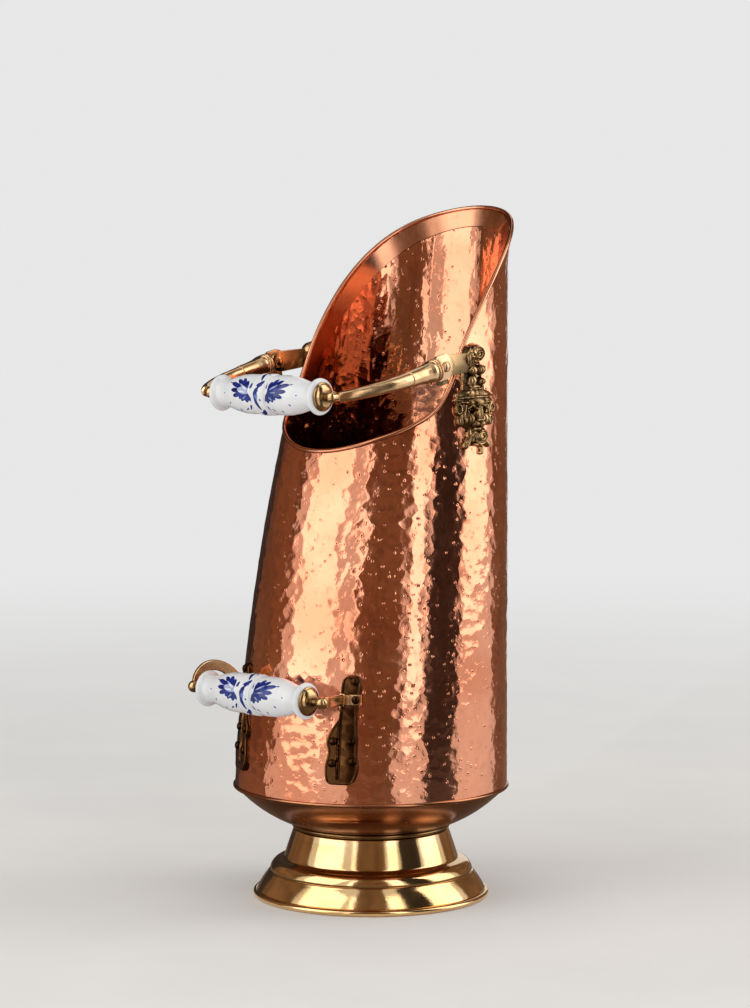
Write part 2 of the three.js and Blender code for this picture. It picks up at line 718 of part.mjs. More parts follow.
const mountRivets = MOUNT_RIVET_H.map((height) => {
  const z = PIVOT_Z + height;
  const along = wallNormal(mountMiddle(z), z);
  const inside = wall(mountMiddle(z), z, -SHEET);
  const tip = SHEET + GAP + MOUNT_RIVET_DEPTH;
  const opening = hole(inside, along, RIVET_R + GAP, -THROUGH, tip + GAP);
  mountTools.push(opening);
  wallHoles.push(opening, mirrored(opening));
  const head = -GAP - FACET_SAG;
  const profile = [
    [0, tip], [RIVET_R, tip], [RIVET_R, head], [RIVET_HEAD_R, head],
    [RIVET_HEAD_R, head - HEAD_EDGE], [RIVET_HEAD_R * 0.6, head - BURIED_HEAD_H * 0.88],
    [0, head - BURIED_HEAD_H],
  ];
  return placed(turned(profile, SMALL_SEGMENTS), inside, along);
});
const mountJoined = joined([
  mountShape,
  platePiece(earOutline, earX, EAR_T),
  platePiece(stopStem, earX, EAR_T),
  platePiece(stopOutline, earX, EAR_T + GAP + FORK_T),
]);
addPair("mask_mount", cut(mountJoined, [...mountTools, pivotBore]), DARK_BRASS);
mountRivets.forEach((g, i) => addPair("mask_mount_rivet_" + (i + 1), g, DARK_BRASS));

// ---------------------------------------------------------------- bail

// Pivot rivet: domed head outside the fork, tail inside the ear.
const forkFace = vec(forkX + FORK_T, PIVOT_Y, PIVOT_Z);
addPair(
  "bail_pivot",
  rivet(forkFace, vec(1, 0, 0), FORK_T + GAP + EAR_T, {
    r: PIVOT_R, headR: PIVOT_HEAD_R, headH: PIVOT_HEAD_H, tailR: PIVOT_TAIL_R, tailH: PIVOT_TAIL_H,
  }),
  AGED_BRASS,
);

// Fork plate, whose straight lower edge lies on the lug, and the ringed socket.
const forkEnd = SOCKET_START + GAP;
const forkOutline = [
  ...halfRound(FORK_R, 90, 180),
  [stopFront, -FORK_R], [forkEnd, -SOCKET_R + GAP], [forkEnd, SOCKET_R - GAP], [stopFront, FORK_R],
];
const socketProfile = [
  [0, SOCKET_START], [SOCKET_R - 0.8, SOCKET_START], [SOCKET_R, SOCKET_START + 0.8],
  [SOCKET_R, SOCKET_START + 2.2], [SOCKET_R - 1, SOCKET_START + 2.8],
  [SOCKET_R, SOCKET_START + 3.4], [SOCKET_R, SOCKET_START + 4.8],
  [SOCKET_R - 1, SOCKET_START + 5.4], [SOCKET_R - 0.1, SOCKET_START + 6],
  [SOCKET_R - 0.5, SOCKET_START + 9], [SOCKET_R - 1.5, SOCKET_START + 16],
  [ARM_R_SOCKET + 1, SOCKET_START + 24], [ARM_R_SOCKET + 0.7, SOCKET_END],
  [ARM_R_SOCKET + GAP, SOCKET_END], [ARM_R_SOCKET + GAP, ARM_INSERT - GAP],
  [0, ARM_INSERT - GAP],
];
const socket = placed(turned(socketProfile, MIDDLE_SEGMENTS), pivot, bailAlong);
const fork = platePiece(forkOutline, forkX, FORK_T);
addPair("bail_socket", cut(joined([fork, socket]), [pivotBore]), AGED_BRASS);

// A tube that tapers along a curve.
function taperedTube(curve, from, to, steps, sides) {
  const loops = [];
  for (let i = 0; i <= steps; i++) {
    const at = curve.getPoint(i / steps);
    const along = curve.getTangent(i / steps);
    const up = bailUp.clone();
    const side = up.clone().cross(along).normalize();
    const r = from + ((to - from) * i) / steps;
    const loop = [];
    for (let k = 0; k < sides; k++) {
      const t = (2 * Math.PI * k) / sides;
      const p = at.clone().addScaledVector(up, r * Math.cos(t));
      loop.push(p.addScaledVector(side, r * Math.sin(t)));
    }
    loops.push(loop);
  }
  return skin(loops, false);
}

const ballAt = bailAt(BAIL_BALL_X, BAIL_LENGTH);
const armCurve = new THREE.CurvePath();
armCurve.add(new THREE.LineCurve3(bailAt(bailX, ARM_INSERT), bailAt(bailX, SOCKET_END)));
armCurve.add(
  new THREE.CubicBezierCurve3(
    bailAt(bailX, SOCKET_END),
    bailAt(bailX, BAIL_LENGTH * ARM_STRAIGHT),
    bailAt(bailX - ARM_CORNER, BAIL_LENGTH + 0.4),
    bailAt(BAIL_BALL_X + 1, BAIL_LENGTH),
  ),
);

function ballSolid(centre, radius) {
  const profile = arc(0, 0, radius, -90, 90, 7);
  profile[0][0] = 0;
  profile[profile.length - 1][0] = 0;
  return placed(turned(profile, MIDDLE_SEGMENTS), centre, vec(1, 0, 0));
}

const armTube = taperedTube(armCurve, ARM_R_SOCKET, ARM_R_GRIP, 10, 10);
addPair("bail_arm", cut(armTube, [ballSolid(ballAt, BALL_R + GAP)]), AGED_BRASS);
addGrip("bail", ballAt, BAIL_BALL_X);

// Grip, rod, caps and end balls about an axis parallel to X.
function addGrip(prefix, at, ballX) {
  const axis = vec(0, at.y, at.z);
  const across = vec(1, 0, 0);
  const flat = GRIP_HALF;
  const belt = GRIP_BELT_HALF;
  const half = [
    [GRIP_BORE_R, flat], [GRIP_FLANGE_R - 3, flat], [GRIP_FLANGE_R - 0.8, flat - 0.8],
    [GRIP_FLANGE_R, flat - GRIP_FLANGE_W / 2], [GRIP_FLANGE_R - 0.8, flat - GRIP_FLANGE_W],
    [GRIP_NECK_R + 0.6, flat - GRIP_FLANGE_W - 2.6], [GRIP_NECK_R, flat - GRIP_NECK_AT],
    [GRIP_NECK_R + 0.9, flat - GRIP_NECK_AT - 4.5], [GRIP_BULGE_R - 2, flat - GRIP_BULGE_AT + 16],
    [GRIP_BULGE_R - 0.4, flat - GRIP_BULGE_AT + 8], [GRIP_BULGE_R, flat - GRIP_BULGE_AT],
    [GRIP_BULGE_R - 0.3, belt + 2.4], [GRIP_BULGE_R - GRIP_GROOVE, belt + 1],
    [GRIP_BELT_R - 0.2, belt], [GRIP_BELT_R, 0],
  ];
  const other = half.slice(0, -1).reverse().map(([r, x]) => [r, -x]);
  add(prefix + "_grip", placed(turned([...half, ...other], 20), axis, across), PORCELAIN);
  const rodEnd = ballX + ROD_PAST;
  const rod = turned([[0, -rodEnd], [ROD_R, -rodEnd], [ROD_R, rodEnd], [0, rodEnd]], MIDDLE_SEGMENTS);
  add(prefix + "_rod", placed(rod, axis, across), AGED_BRASS);
  const capFrom = GRIP_HALF + GAP;
  const capTo = ballX - BALL_R - GAP;
  const cap = [
    [ROD_R + GAP, capFrom], [CAP_R - 0.5, capFrom], [CAP_R, capFrom + 0.5],
    [CAP_R - 0.3, capFrom + 1.2], [CAP_R * 0.86, capFrom + CAP_H * 0.5],
    [CAP_R * 0.66, capFrom + CAP_H * 0.76], [CAP_R * 0.42, capFrom + CAP_H * 0.95],
    [CAP_R * CAP_NECK, Math.min(capFrom + CAP_H, capTo)], [CAP_R * CAP_NECK, capTo],
    [ROD_R + GAP, capTo],
  ];
  addPair(prefix + "_cap", placed(turned(cap, MIDDLE_SEGMENTS), axis, across), BRASS);
  const ball = ballSolid(vec(ballX, at.y, at.z), BALL_R);
  const rodHole = hole(axis, across, ROD_R + GAP, 0, rodEnd + GAP);
  addPair(prefix + "_ball", cut(ball, [rodHole]), BRASS);
}

// ---------------------------------------------------------------- tipping handle

const tipBall = vec(TIP_BALL_X, TIP_Y, TIP_Z);

// A flat bar along a curve, standing on edge, with a foot that lies on the bracket.
function tipArm({ rise, early, late, bow }) {
  const [footFrom, footTo] = TIP_FOOT_ANGLE.map(rad);
  const knuckleSpan = KNUCKLE_W / section(TIP_FOOT_Z).radius;
  const root = wall(footFrom + knuckleSpan / 2, TIP_FOOT_Z, armFootFront + KNUCKLE_T - TIP_BAR_T / 3);
  const a = tipBall.clone().add(vec(0.6, 2.2, 0));
  const d = root.clone();
  const b = a.clone().lerp(d, early).add(vec(bow, 0, rise * 1.3));
  const c = a.clone().lerp(d, late).add(vec(1, 0, rise * 1.1));
  const curve = new THREE.CubicBezierCurve3(a, b, c, d);
  const loops = [];
  const steps = 8;
  for (let i = 0; i <= steps; i++) {
    const at = curve.getPoint(i / steps);
    const along = curve.getTangent(i / steps);
    const side = along.clone().cross(vec(0, 0, 1)).normalize();
    const up = side.clone().cross(along).normalize();
    const h = TIP_BAR_H / 2;
    const t = TIP_BAR_T / 2;
    const corners = [[-t, h - 0.7], [-t + 0.7, h], [t - 0.7, h], [t, h - 0.7]];
    const lower = corners.map(([x, y]) => [x, -y]).reverse();
    loops.push(
      [...corners, ...lower].map(([x, y]) =>
        at.clone().addScaledVector(side, x).addScaledVector(up, y),
      ),
    );
  }
  const bar = skin(loops, false);
  const foot = draped(
    rowsBetween(TIP_FOOT_Z - TIP_BAR_H / 2, TIP_FOOT_Z + TIP_BAR_H / 2, 2),
    5,
    () => [footFrom, footTo],
    () => armFootBack,
    () => armFootFront,
  );
  const knuckleHalf = TIP_BAR_H / 2 + KNUCKLE_RISE;
  const knuckle = draped(
    rowsBetween(TIP_FOOT_Z - knuckleHalf, TIP_FOOT_Z + knuckleHalf, 2),
    2,
    () => [footFrom, footFrom + knuckleSpan],
    () => armFootBack,
    () => armFootFront + KNUCKLE_T,
  );
  const tools = [ballSolid(tipBall, BALL_R + GAP), armRivetHole];
  return cut(joined([bar, foot, knuckle]), tools);
}

add("tip_arm_right", tipArm(NEAR_BAR), AGED_BRASS);
add("tip_arm_left", mirrored(tipArm(FAR_BAR)), AGED_BRASS);
addPair("tip_arm_rivet", rivet(armRivetFace, armRivetAlong, armRivetGrip), BROWN_BRASS);
addGrip("tip", tipBall, TIP_BALL_X);

// ---------------------------------------------------------------- body

const shellLoops = [];
for (let i = 0; i < ROUND_SEGMENTS; i++) {
  const angle = (2 * Math.PI * i) / ROUND_SEGMENTS;
  const top = rimHeight(angle);
  const low = rowsBetween(bodyBottom, top - FLARE_DEPTH, WALL_ROWS);
  const rows = [...low.slice(0, -1), ...rowsBetween(top - FLARE_DEPTH, top, LIP_ROWS)];
  const outside = rows.map((z) => wall(angle, z, 0));
  const inside = rows.map((z) => wall(angle, z, -SHEET)).reverse();
  shellLoops.push([...outside, ...inside]);
}
add("body_shell", cut(skin(shellLoops, true), wallHoles), COPPER);

// The origin is under the middle of the whole object.
const box = new THREE.Box3().setFromObject(scuttle);
scuttle.children.forEach((m) => m.geometry.translate(0, -(box.min.y + box.max.y) / 2, -box.min.z));

export default scuttle;
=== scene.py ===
"""Looks of a hammered copper coal scuttle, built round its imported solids.

Tables and shapes are in millimetres, in the design frame: the origin is on the floor under the
foot's axis, +Z is up, the handles are at -Y. Angles round the body start at the -Y side.
Finishes and the studio are in metres, Blender's own unit.
"""

import bpy
import numpy as np
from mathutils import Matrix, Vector


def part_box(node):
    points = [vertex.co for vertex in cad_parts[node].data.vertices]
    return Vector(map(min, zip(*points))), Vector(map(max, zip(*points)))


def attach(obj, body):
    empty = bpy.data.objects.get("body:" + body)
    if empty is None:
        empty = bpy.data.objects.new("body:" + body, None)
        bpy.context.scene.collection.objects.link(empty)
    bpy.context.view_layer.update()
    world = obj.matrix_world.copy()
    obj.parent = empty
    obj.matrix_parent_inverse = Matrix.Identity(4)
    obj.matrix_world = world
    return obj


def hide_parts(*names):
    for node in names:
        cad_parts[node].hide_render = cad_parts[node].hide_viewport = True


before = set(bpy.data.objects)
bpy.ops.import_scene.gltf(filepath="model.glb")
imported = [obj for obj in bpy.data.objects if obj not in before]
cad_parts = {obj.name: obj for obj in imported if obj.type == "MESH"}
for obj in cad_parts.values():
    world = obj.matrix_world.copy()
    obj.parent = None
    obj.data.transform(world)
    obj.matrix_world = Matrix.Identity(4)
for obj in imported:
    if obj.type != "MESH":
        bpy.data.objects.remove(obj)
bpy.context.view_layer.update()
scene = bpy.context.scene

MM = 0.001
foot_low, foot_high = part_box("foot")
AXIS = np.array([0, (foot_low.y + foot_high.y) / 2, 0])

# ---- sizes of the body

SHEET = 1.4
SPUN = 1.6
GAP = 0.3
SEAM_Z = 90
SEAM_R = 109.8
SEAM_BEAD_R = 1.7
FRONT_SLOPE = 0.0767
FRONT_CURVE = 3.25e-4
BACK_SLOPE = 0.018
BACK_CURVE = 6.5e-5
STRAIGHT_FROM = 313
FLARE = 5
FLARE_DEPTH = 34
MOUTH = [
    [-76, 353.5], [-50, 369], [-28, 380.5], [-8, 394.5], [6, 415], [22, 446],
    [40, 472], [62, 498], [86, 521.5], [108, 539], [134, 555],
]
RIM_WIRE_R = 1.8
HEM_W = 15

FOOT_R = 95.4
FOOT_EDGE_R = 2.4
FOOT_FLAT_IN = 81
SKIRT_TOP_R = 82.4
SKIRT_TOP_Z = 20
CONE_LOW_R = 69.8
CONE_LOW_Z = 32.2
CONE_TOP_R = 62.6
CONE_BEND = [66.6, 43]
SKIRT_BEND = [87.6, 13.6]
FOOT_TOP_Z = 54.8
NECK_R = 63.8
NECK_BORE_R = 20
NECK_H = 3.6
DISH_FLAT_R = 64.2
DISH_BELLY = [90, 68.6]
SPIGOT_H = 9

SHELL_LIFT = 0.9
RIM_STATIONS = 720
ROUND_STEPS = 288
NECK_STEPS = 256
TUBE_SIDES = 32
SHARP_FROM = 38

# Hammer marks of the sheet, and the points that carry them.
BODY_TOP = 560
DENT_SEED = 11
DENTS_ROUND = 66
DENT_H = 9.6
DENT_DEPTH = 0.74
DENT_WANDER = 0.36
DENT_STRENGTH = (0.55, 1.25)
DENT_SHARPNESS = 16
DENT_MIDDLE = 0.16
WAVES = 9
WAVE_DEPTH = 0.07
WAVE_SHARE = 0.6
MARKS_SET_IN = (94, 108)
MARKS_FADE_OUT = (-7, -1)
RIM_CALM = 0.6
WALL_COLUMNS = 432
WALL_ROWS = 170
INNER_ROWS = 60

# ---- sizes of the handles

PIVOT_Y = -15
PIVOT_Z = 428.7
BAIL_LENGTH = 102.7
BAIL_TILT = np.radians(11.8)
EAR_CLEAR = 1.3
EAR_T = 2.8
EAR_R = 8.6
EAR_REACH = 38
EAR_DROP = np.radians(7)
FORK_T = 2.6
FORK_R = 10
STOP_H = 3
STOP_W = 9
SOCKET_START = 10.4
SOCKET_END = 43
SOCKET_R = 9
ARM_INSERT = 27
ARM_R_SOCKET = 6
ARM_R_GRIP = 4.2
ARM_BEND_FROM = 0.65
ARM_BEND_IN = 11
ARM_NECK = 0.3
GRIP_HALF = 54.5
GRIP_FLANGE_R = 14.3
GRIP_NECK_R = 10.6
GRIP_BULGE_R = 15.6
GRIP_BELT_R = 16.2
GRIP_BELT_HALF = 5.6
GRIP_BORE_R = 3.6
GRIP_POINTS = 340
GRIP_SEGMENTS = 264
BAIL_GRIP_TURN = 0.25
TIP_GRIP_TURN = 0.27
ROD_R = 2.6
CAP_R = 11.3
# Share of the cap's radius and distance from its face, along its dome.
CAP_DOME = [(0.84, 2.7), (0.66, 3.9), (0.46, 4.5), (0.3, 4.8), (0.27, 5.2)]
BALL_R = 4.8
BAIL_BALL_X = 64.9

TIP_Y = -132
TIP_Z = 175.8
TIP_BALL_X = 68.9
TIP_BAR_H = 8.6
TIP_BAR_T = 3.4
TIP_FOOT_ANGLE = np.radians([27.6, 36.6])
TIP_FOOT_Z = 172.7
TIP_FOOT_T = 2.4
TIP_FOOT_RIVET = np.radians(34.2)
KNUCKLE_T = 3
KNUCKLE_W = 4.5
KNUCKLE_RISE = 1
PAD_ROUNDING = 0.7
# Rise on the way, shares of the way at which the curve's handles stand, outward bow.
NEAR_BAR = (0, 0.3, 0.72, 1.6)
FAR_BAR = (19, 0.15, 0.8, 2.9)
BRACKET_T = 2.2
# Height over the bar's foot, left and right edge in degrees.
BRACKET_EDGE = [
    [-66.5, 26.4, 30.6], [-65.6, 24.4, 33.4], [-62.5, 23, 35.4], [-52.5, 22.4, 36.8],
    [-41, 23.4, 36], [-32.5, 22.6, 36], [-23.5, 24.4, 35.6], [-15.5, 27, 35.4],
    [-3.5, 27.6, 35.4], [8, 27.4, 36.4], [15, 28, 36], [17.6, 29.6, 34.4], [18.5, 31, 33],
]
# Place in degrees, heights over the bar's foot from which and to which it runs, width, relief.
BRACKET_RIB = (27.9, -60.5, -6.5, 1.7, 1.7)
# Distance in from the edge, width and relief.
BRACKET_BEAD = (1.5, 0.7, 0.35)
BRACKET_ROUNDING = 1.1
BRACKET_SUNK = 0.5
BRACKET_RIVETS = [[33.2, 13.5], [25.6, -32.5], [33, -32.5], [25.6, -49.5], [34, -48]]

MOUNT_ANGLE = np.radians(82.5)
MOUNT_LEAN = 0.05
MOUNT_RIVET_H = [-55.5, -28.5]
# Shank radius, head radius and height, tail radius and height of the rivets.
WALL_RIVET = (1.6, 3.3, 1.9, 2.7, 1.1)
MOUNT_RIVET = (1.6, 3.3, 1.5, 2.7, 1.1)
PIVOT_RIVET = (2.4, 4.3, 2.6, 3.8, 1.4)

# ---- the wall


def through(table, x):
    """A smooth curve through rows of [x, y], straight beyond its ends."""
    xs, ys = np.array(table, float).T[:2]
    slope = np.empty_like(ys)
    slope[1:-1] = (ys[2:] - ys[:-2]) / (xs[2:] - xs[:-2])
    slope[0] = (ys[1] - ys[0]) / (xs[1] - xs[0])
    slope[-1] = (ys[-1] - ys[-2]) / (xs[-1] - xs[-2])
    x = np.asarray(x, float)
    i = np.clip(np.searchsorted(xs, x) - 1, 0, len(xs) - 2)
    w = xs[i + 1] - xs[i]
    t = np.clip((x - xs[i]) / w, 0, 1)
    y = (
        (2 * t**3 - 3 * t**2 + 1) * ys[i]
        + (t**3 - 2 * t**2 + t) * w * slope[i]
        + (3 * t**2 - 2 * t**3) * ys[i + 1]
        + (t**3 - t**2) * w * slope[i + 1]
    )
    return y + np.minimum(x - xs[0], 0) * slope[0] + np.maximum(x - xs[-1], 0) * slope[-1]


def wall_line(start, slope, curve, z):
    u = z - SEAM_Z
    bent = np.minimum(u, STRAIGHT_FROM)
    return start + slope * bent + curve * bent**2 + (u - bent) * (slope + 2 * curve * bent)


def section(z):
    """Centre and radius of the body's round section at a height."""
    front = wall_line(-SEAM_R, FRONT_SLOPE, FRONT_CURVE, z)
    back = wall_line(SEAM_R, BACK_SLOPE, BACK_CURVE, z)
    return (front + back) / 2, (back - front) / 2


def settle_rim(angle):
    z = np.full_like(angle, float(through(MOUTH, 0)))
    for _ in range(60):
        centre, radius = section(z)
        z = 0.5 * (z + through(MOUTH, centre - radius * np.cos(angle)))
    return z


RIM_ANGLES = np.linspace(0, 2 * np.pi, 1441)
RIM_HEIGHTS = settle_rim(RIM_ANGLES)


def rim_height(angle):
    return np.interp(np.mod(angle, 2 * np.pi), RIM_ANGLES, RIM_HEIGHTS)


def wall(angle, z, out=0.0):
    """Points of the body's outside, moved outward by a distance."""
    angle, z, out = np.broadcast_arrays(np.asarray(angle, float), z, out)
    centre, radius = section(z)
    lip = np.clip(1 - (rim_height(angle) - z) / FLARE_DEPTH, 0, 1.2)
    r = radius + FLARE * lip**2 * ((1 - np.cos(angle)) / 2) ** 2 + out
    return np.stack([r * np.sin(angle), centre - r * np.cos(angle), z], -1)


def unit(v):
    return v / np.linalg.norm(v, axis=-1, keepdims=True)


def wall_normal(angle, z):
    across = wall(angle + 0.01, z) - wall(angle - 0.01, z)
    up = wall(angle, z + 1) - wall(angle, z - 1)
    return unit(np.cross(across, up))


def evenly(count):
    """Angles of a number of even steps round."""
    return 2 * np.pi * np.arange(count) / count


def smooth(low, high, x):
    t = np.clip((x - low) / (high - low), 0, 1)
    return t * t * (3 - 2 * t)


# ---- meshes


def oriented(points, faces):
    """Faces turned to look outward."""
    quads = np.array([list(f) + [f[-1]] * (4 - len(f)) for f in faces])
    a, b, c, d = (points[quads[:, i]] for i in range(4))
    volume = np.einsum("ij,ij->", a, np.cross(b, c)) + np.einsum("ij,ij->", a, np.cross(c, d))
    return faces if volume > 0 else [f[::-1] for f in faces]


def skin(rings, closed=False):
    """A surface over rings of points. A ring whose points coincide is a tip."""
    n, m = rings.shape[:2]
    index = np.arange(n * m).reshape(n, m)
    for i in (0, n - 1):
        if np.ptp(rings[i], axis=0).max() < 1e-9:
            index[i] = index[i, 0]
    after = np.roll(index, -1, axis=0)
    if not closed:
        index, after = index[:-1], after[:-1]
    corners = np.stack([index, np.roll(index, -1, 1), np.roll(after, -1, 1), after], -1)
    used, corners = np.unique(corners, return_inverse=True)
    faces = [list(dict.fromkeys(quad)) for quad in corners.reshape(-1, 4).tolist()]
    points = rings.reshape(-1, 3)[used]
    return points, oriented(points, faces)


def capped(rings):
    """Rings with a tip in the middle of each end."""
    tip = lambda ring: np.repeat(ring.mean(0)[None], len(ring), 0)[None]
    return np.concatenate([tip(rings[0]), rings, tip(rings[-1])])


def soften(profile, radius, steps=4):
    """A profile with its inner corners rounded."""
    p = np.array(profile, float)
    out = [p[0]]
    for before, corner, after in zip(p[:-2], p[1:-1], p[2:]):
        ends = []
        for other in (before, after):
            reach = np.linalg.norm(other - corner)
            ends.append(corner + (other - corner) * min(radius / max(reach, 1e-9), 0.45))
        for t in np.linspace(0, 1, steps + 1):
            out.append((1 - t) ** 2 * ends[0] + 2 * t * (1 - t) * corner + t**2 * ends[1])
    return np.array(out + [p[-1]])


def off(base, *moves):
    """Points a little off a base point."""
    return np.array(base) + np.array(moves)


def arc(r, h, size, start, end, steps=16):
    """Points [radius, height] of an arc round a middle, between two angles in degrees."""
    t = np.radians(np.linspace(start, end, steps + 1))
    return np.stack([r + size * np.cos(t), h + size * np.sin(t)], -1).tolist()


def bezier(points, steps):
    """Points of a Bezier curve of any degree."""
    t = np.linspace(0, 1, steps + 1)[:, None, None]
    p = np.repeat(np.array(points, float)[None], steps + 1, 0)
    while p.shape[1] > 1:
        p = p[:, :-1] * (1 - t) + p[:, 1:] * t
    return p[:, 0]


def lathe(profile, segments=64):
    profile = np.array(profile, float)
    t = evenly(segments)
    r, h = profile[:, :1], profile[:, 1:]
    return np.stack([r * np.cos(t), r * np.sin(t), np.repeat(h, segments, 1)], -1)


def placed(rings, at, along):
    """Moves rings so that their Z axis lies along a direction at a point."""
    turn = Vector((0, 0, 1)).rotation_difference(Vector(along)).to_matrix()
    return rings @ np.array(turn).T + np.array(at)


def turned(profile, at, along, segments=64):
    return skin(placed(lathe(profile, segments), at, along))


def sweep(path, radii, up, outline=None):
    """A tube or bar along a path. Outline points are [sideways, up]."""
    along = unit(np.gradient(path, axis=0))
    side = unit(np.cross(along, up))
    upward = np.cross(side, along)
    if outline is None:
        t = evenly(TUBE_SIDES)
        outline = np.stack([np.cos(t), np.sin(t)], -1)
    radii = np.broadcast_to(np.asarray(radii, float).reshape(-1, 1), (len(path), len(outline)))
    x, y = outline[:, 0] * radii, outline[:, 1] * radii
    rings = path[:, None] + x[..., None] * side[:, None] + y[..., None] * upward[:, None]
    return skin(capped(rings))


def rounded_box(half_w, half_h):
    sides, power = 28, 0.28
    t = 2 * np.pi * (np.arange(sides) + 0.5) / sides
    curve = lambda v: np.sign(v) * np.abs(v) ** power
    return np.stack([half_w * curve(np.cos(t)), half_h * curve(np.sin(t))], -1)


def plate(outline, x, thickness, edge=0.5):
    """A plate with rounded edges, from x on. Outline points are [along the bail, up off it]."""
    outline = np.array(outline, float)
    inward = unit(outline.mean(0) - outline)
    rings = []
    for deep, inset in [
        (0, edge), (edge * 0.3, edge * 0.3), (edge, 0),
        (thickness - edge, 0), (thickness - edge * 0.3, edge * 0.3), (thickness, edge),
    ]:
        rings.append(bail_at(x + deep, *(outline + inward * inset).T))
    return skin(capped(np.array(rings)))


def relief(grid_front, grid_back, keep=None):
    """A closed plate from two grids of points, where `keep` marks the cells that stay."""
    n, m = grid_front.shape[:2]
    if keep is None:
        keep = np.ones((n - 1, m - 1), bool)
    index = np.arange(n * m).reshape(n, m)
    a, b, c, d = index[:-1, :-1], index[:-1, 1:], index[1:, 1:], index[1:, :-1]
    front = np.stack([a, b, c, d], -1)[keep]
    back = front[:, ::-1] + n * m
    edges = {}
    for quad in front.tolist():
        for p, q in zip(quad, quad[1:] + quad[:1]):
            if (q, p) in edges:
                del edges[(q, p)]
            else:
                edges[(p, q)] = True
    sides = [[q, p, p + n * m, q + n * m] for p, q in edges]
    faces = np.array(front.tolist() + back.tolist() + sides)
    used, faces = np.unique(faces, return_inverse=True)
    points = np.concatenate([grid_front.reshape(-1, 3), grid_back.reshape(-1, 3)])[used]
    return points, oriented(points, faces.reshape(-1, 4).tolist())


def lengths(path):
    """Way along a path up to each of its points."""
    return np.append(0, np.cumsum(np.linalg.norm(np.diff(path, axis=0), axis=1)))


def rounded_edge(inside, size):
    """Share of the full height at a distance inside a plate's edge, which is rounded off."""
    return np.sqrt(np.clip(1 - (1 - np.clip(inside / size, 0, 1)) ** 2, 0, 1))


def mirrored(parts):
    return [(points * [-1, 1, 1], [f[::-1] for f in faces]) for points, faces in parts]


# ---- finishes


class Nodes:
    """A node tree and short ways to fill it."""

    def __init__(self, tree):
        self.tree = tree

    def put(self, socket, value):
        if isinstance(value, bpy.types.NodeSocket):
            self.tree.links.new(value, socket)
        elif socket.type == "RGBA":
            socket.default_value = (*value, 1)
        else:
            socket.default_value = value

    def node(self, kind, output, inputs=None, **settings):
        """Adds a node and gives one of its outputs."""
        node = self.tree.nodes.new("ShaderNode" + kind)
        for name, value in settings.items():
            setattr(node, name, value)
        for name, value in (inputs or {}).items():
            self.put(node.inputs[name], value)
        return node.outputs[output]


class Finish(Nodes):
    """A material made of one Principled surface and the small node chains that feed it."""

    def __init__(self, name, **values):
        self.material = bpy.data.materials.new(name)
        self.material.use_nodes = True
        super().__init__(self.material.node_tree)
        self.surface = self.tree.nodes["Principled BSDF"]
        for socket, value in values.items():
            self.put(self.surface.inputs[socket.replace("_", " ")], value)
        self.place = self.node("TexCoord", "Object")

    def made(self, *values):
        """Feeds the surface and gives the material."""
        for name, value in zip(("Base Color", "Roughness", "Normal"), values):
            self.put(self.surface.inputs[name], value)
        return self.material

    def read(self, name):
        """A value kept on the mesh, 0 where the mesh has none."""
        return self.node("Attribute", "Fac", attribute_name=name)

    def noise(self, scale, detail, stretch=None):
        place = self.place
        if stretch:
            place = self.node("Mapping", "Vector", {"Vector": place, "Scale": stretch})
        return self.node("TexNoise", "Fac", {"Vector": place, "Scale": scale, "Detail": detail})

    def cells(self, spacing):
        """Distance to the nearest of scattered points, as a share of their spacing."""
        return self.node("TexVoronoi", "Distance", {"Vector": self.place, "Scale": 1 / spacing})

    def dots(self, spacing, radius):
        """1 inside small dots, 0 between them."""
        share = radius / spacing
        return self.span(self.cells(spacing), share * 0.6, share, 1, 0)

    def span(self, value, low, high, to_low, to_high):
        """Goes smoothly from one result to the other while the value goes from low to high."""
        inputs = dict(enumerate((value, low, high, to_low, to_high)))
        return self.node("MapRange", "Result", inputs, interpolation_type="SMOOTHSTEP")

    def add(self, a, b):
        return self.node("Math", "Value", {0: a, 1: b}, operation="ADD")

    def times(self, a, b):
        return self.node("Math", "Value", {0: a, 1: b}, operation="MULTIPLY")

    def mix(self, factor, a, b):
        return self.node("Mix", 2, {"Factor": factor, 6: a, 7: b}, data_type="RGBA")

    def bump(self, height, distance, under=None):
        inputs = {"Height": height, "Distance": distance}
        if under is not None:
            inputs["Normal"] = under
        return self.node("Bump", "Normal", inputs)


PIT_SPACING = 0.0057
PIT_R = 0.0008
PIT_DEPTH = 0.0002
MARK_SPACING = 0.0072
MARK_DEPTH = 0.00019
RIPPLE_DEPTH = 0.0001
SPUN_DEPTH = 0.00002
PIT_SHADE_TONE = (0.13, 0.045, 0.025)
# Tone of the painted shade on copper: the body's inside, the hem and the dish.
SHADED_COPPER_TONE = (0.41, 0.17, 0.08)

# Bright and dull tone, roughness, and whether the sheet is hammered and pitted.
COPPERS = {
    "hammered_copper": ((0.90, 0.39, 0.235), (0.79, 0.285, 0.155), 0.065, True),
    "smooth_copper": ((0.82, 0.37, 0.22), (0.66, 0.27, 0.14), 0.12, False),
}
# Bright, dull and dark tone, roughness, tarnish (which also scales the painted shade in hollows),
# and whether it is spun.
BRASSES = {
    "polished_brass": (
        (0.88, 0.59, 0.31), (0.78, 0.505, 0.225), (0.15, 0.085, 0.03), 0.09, 0.12, True
    ),
    "aged_brass": (
        (0.87, 0.565, 0.32), (0.64, 0.39, 0.185), (0.11, 0.065, 0.025), 0.2, 0.5, False
    ),
    "dark_cast_brass": (
        (0.80, 0.52, 0.25), (0.19, 0.11, 0.046), (0.016, 0.010, 0.004), 0.17, 0.95, False
    ),
    "brown_brass": (
        (0.13, 0.052, 0.017), (0.048, 0.019, 0.007), (0.014, 0.006, 0.003), 0.11, 0.6, False
    ),
}


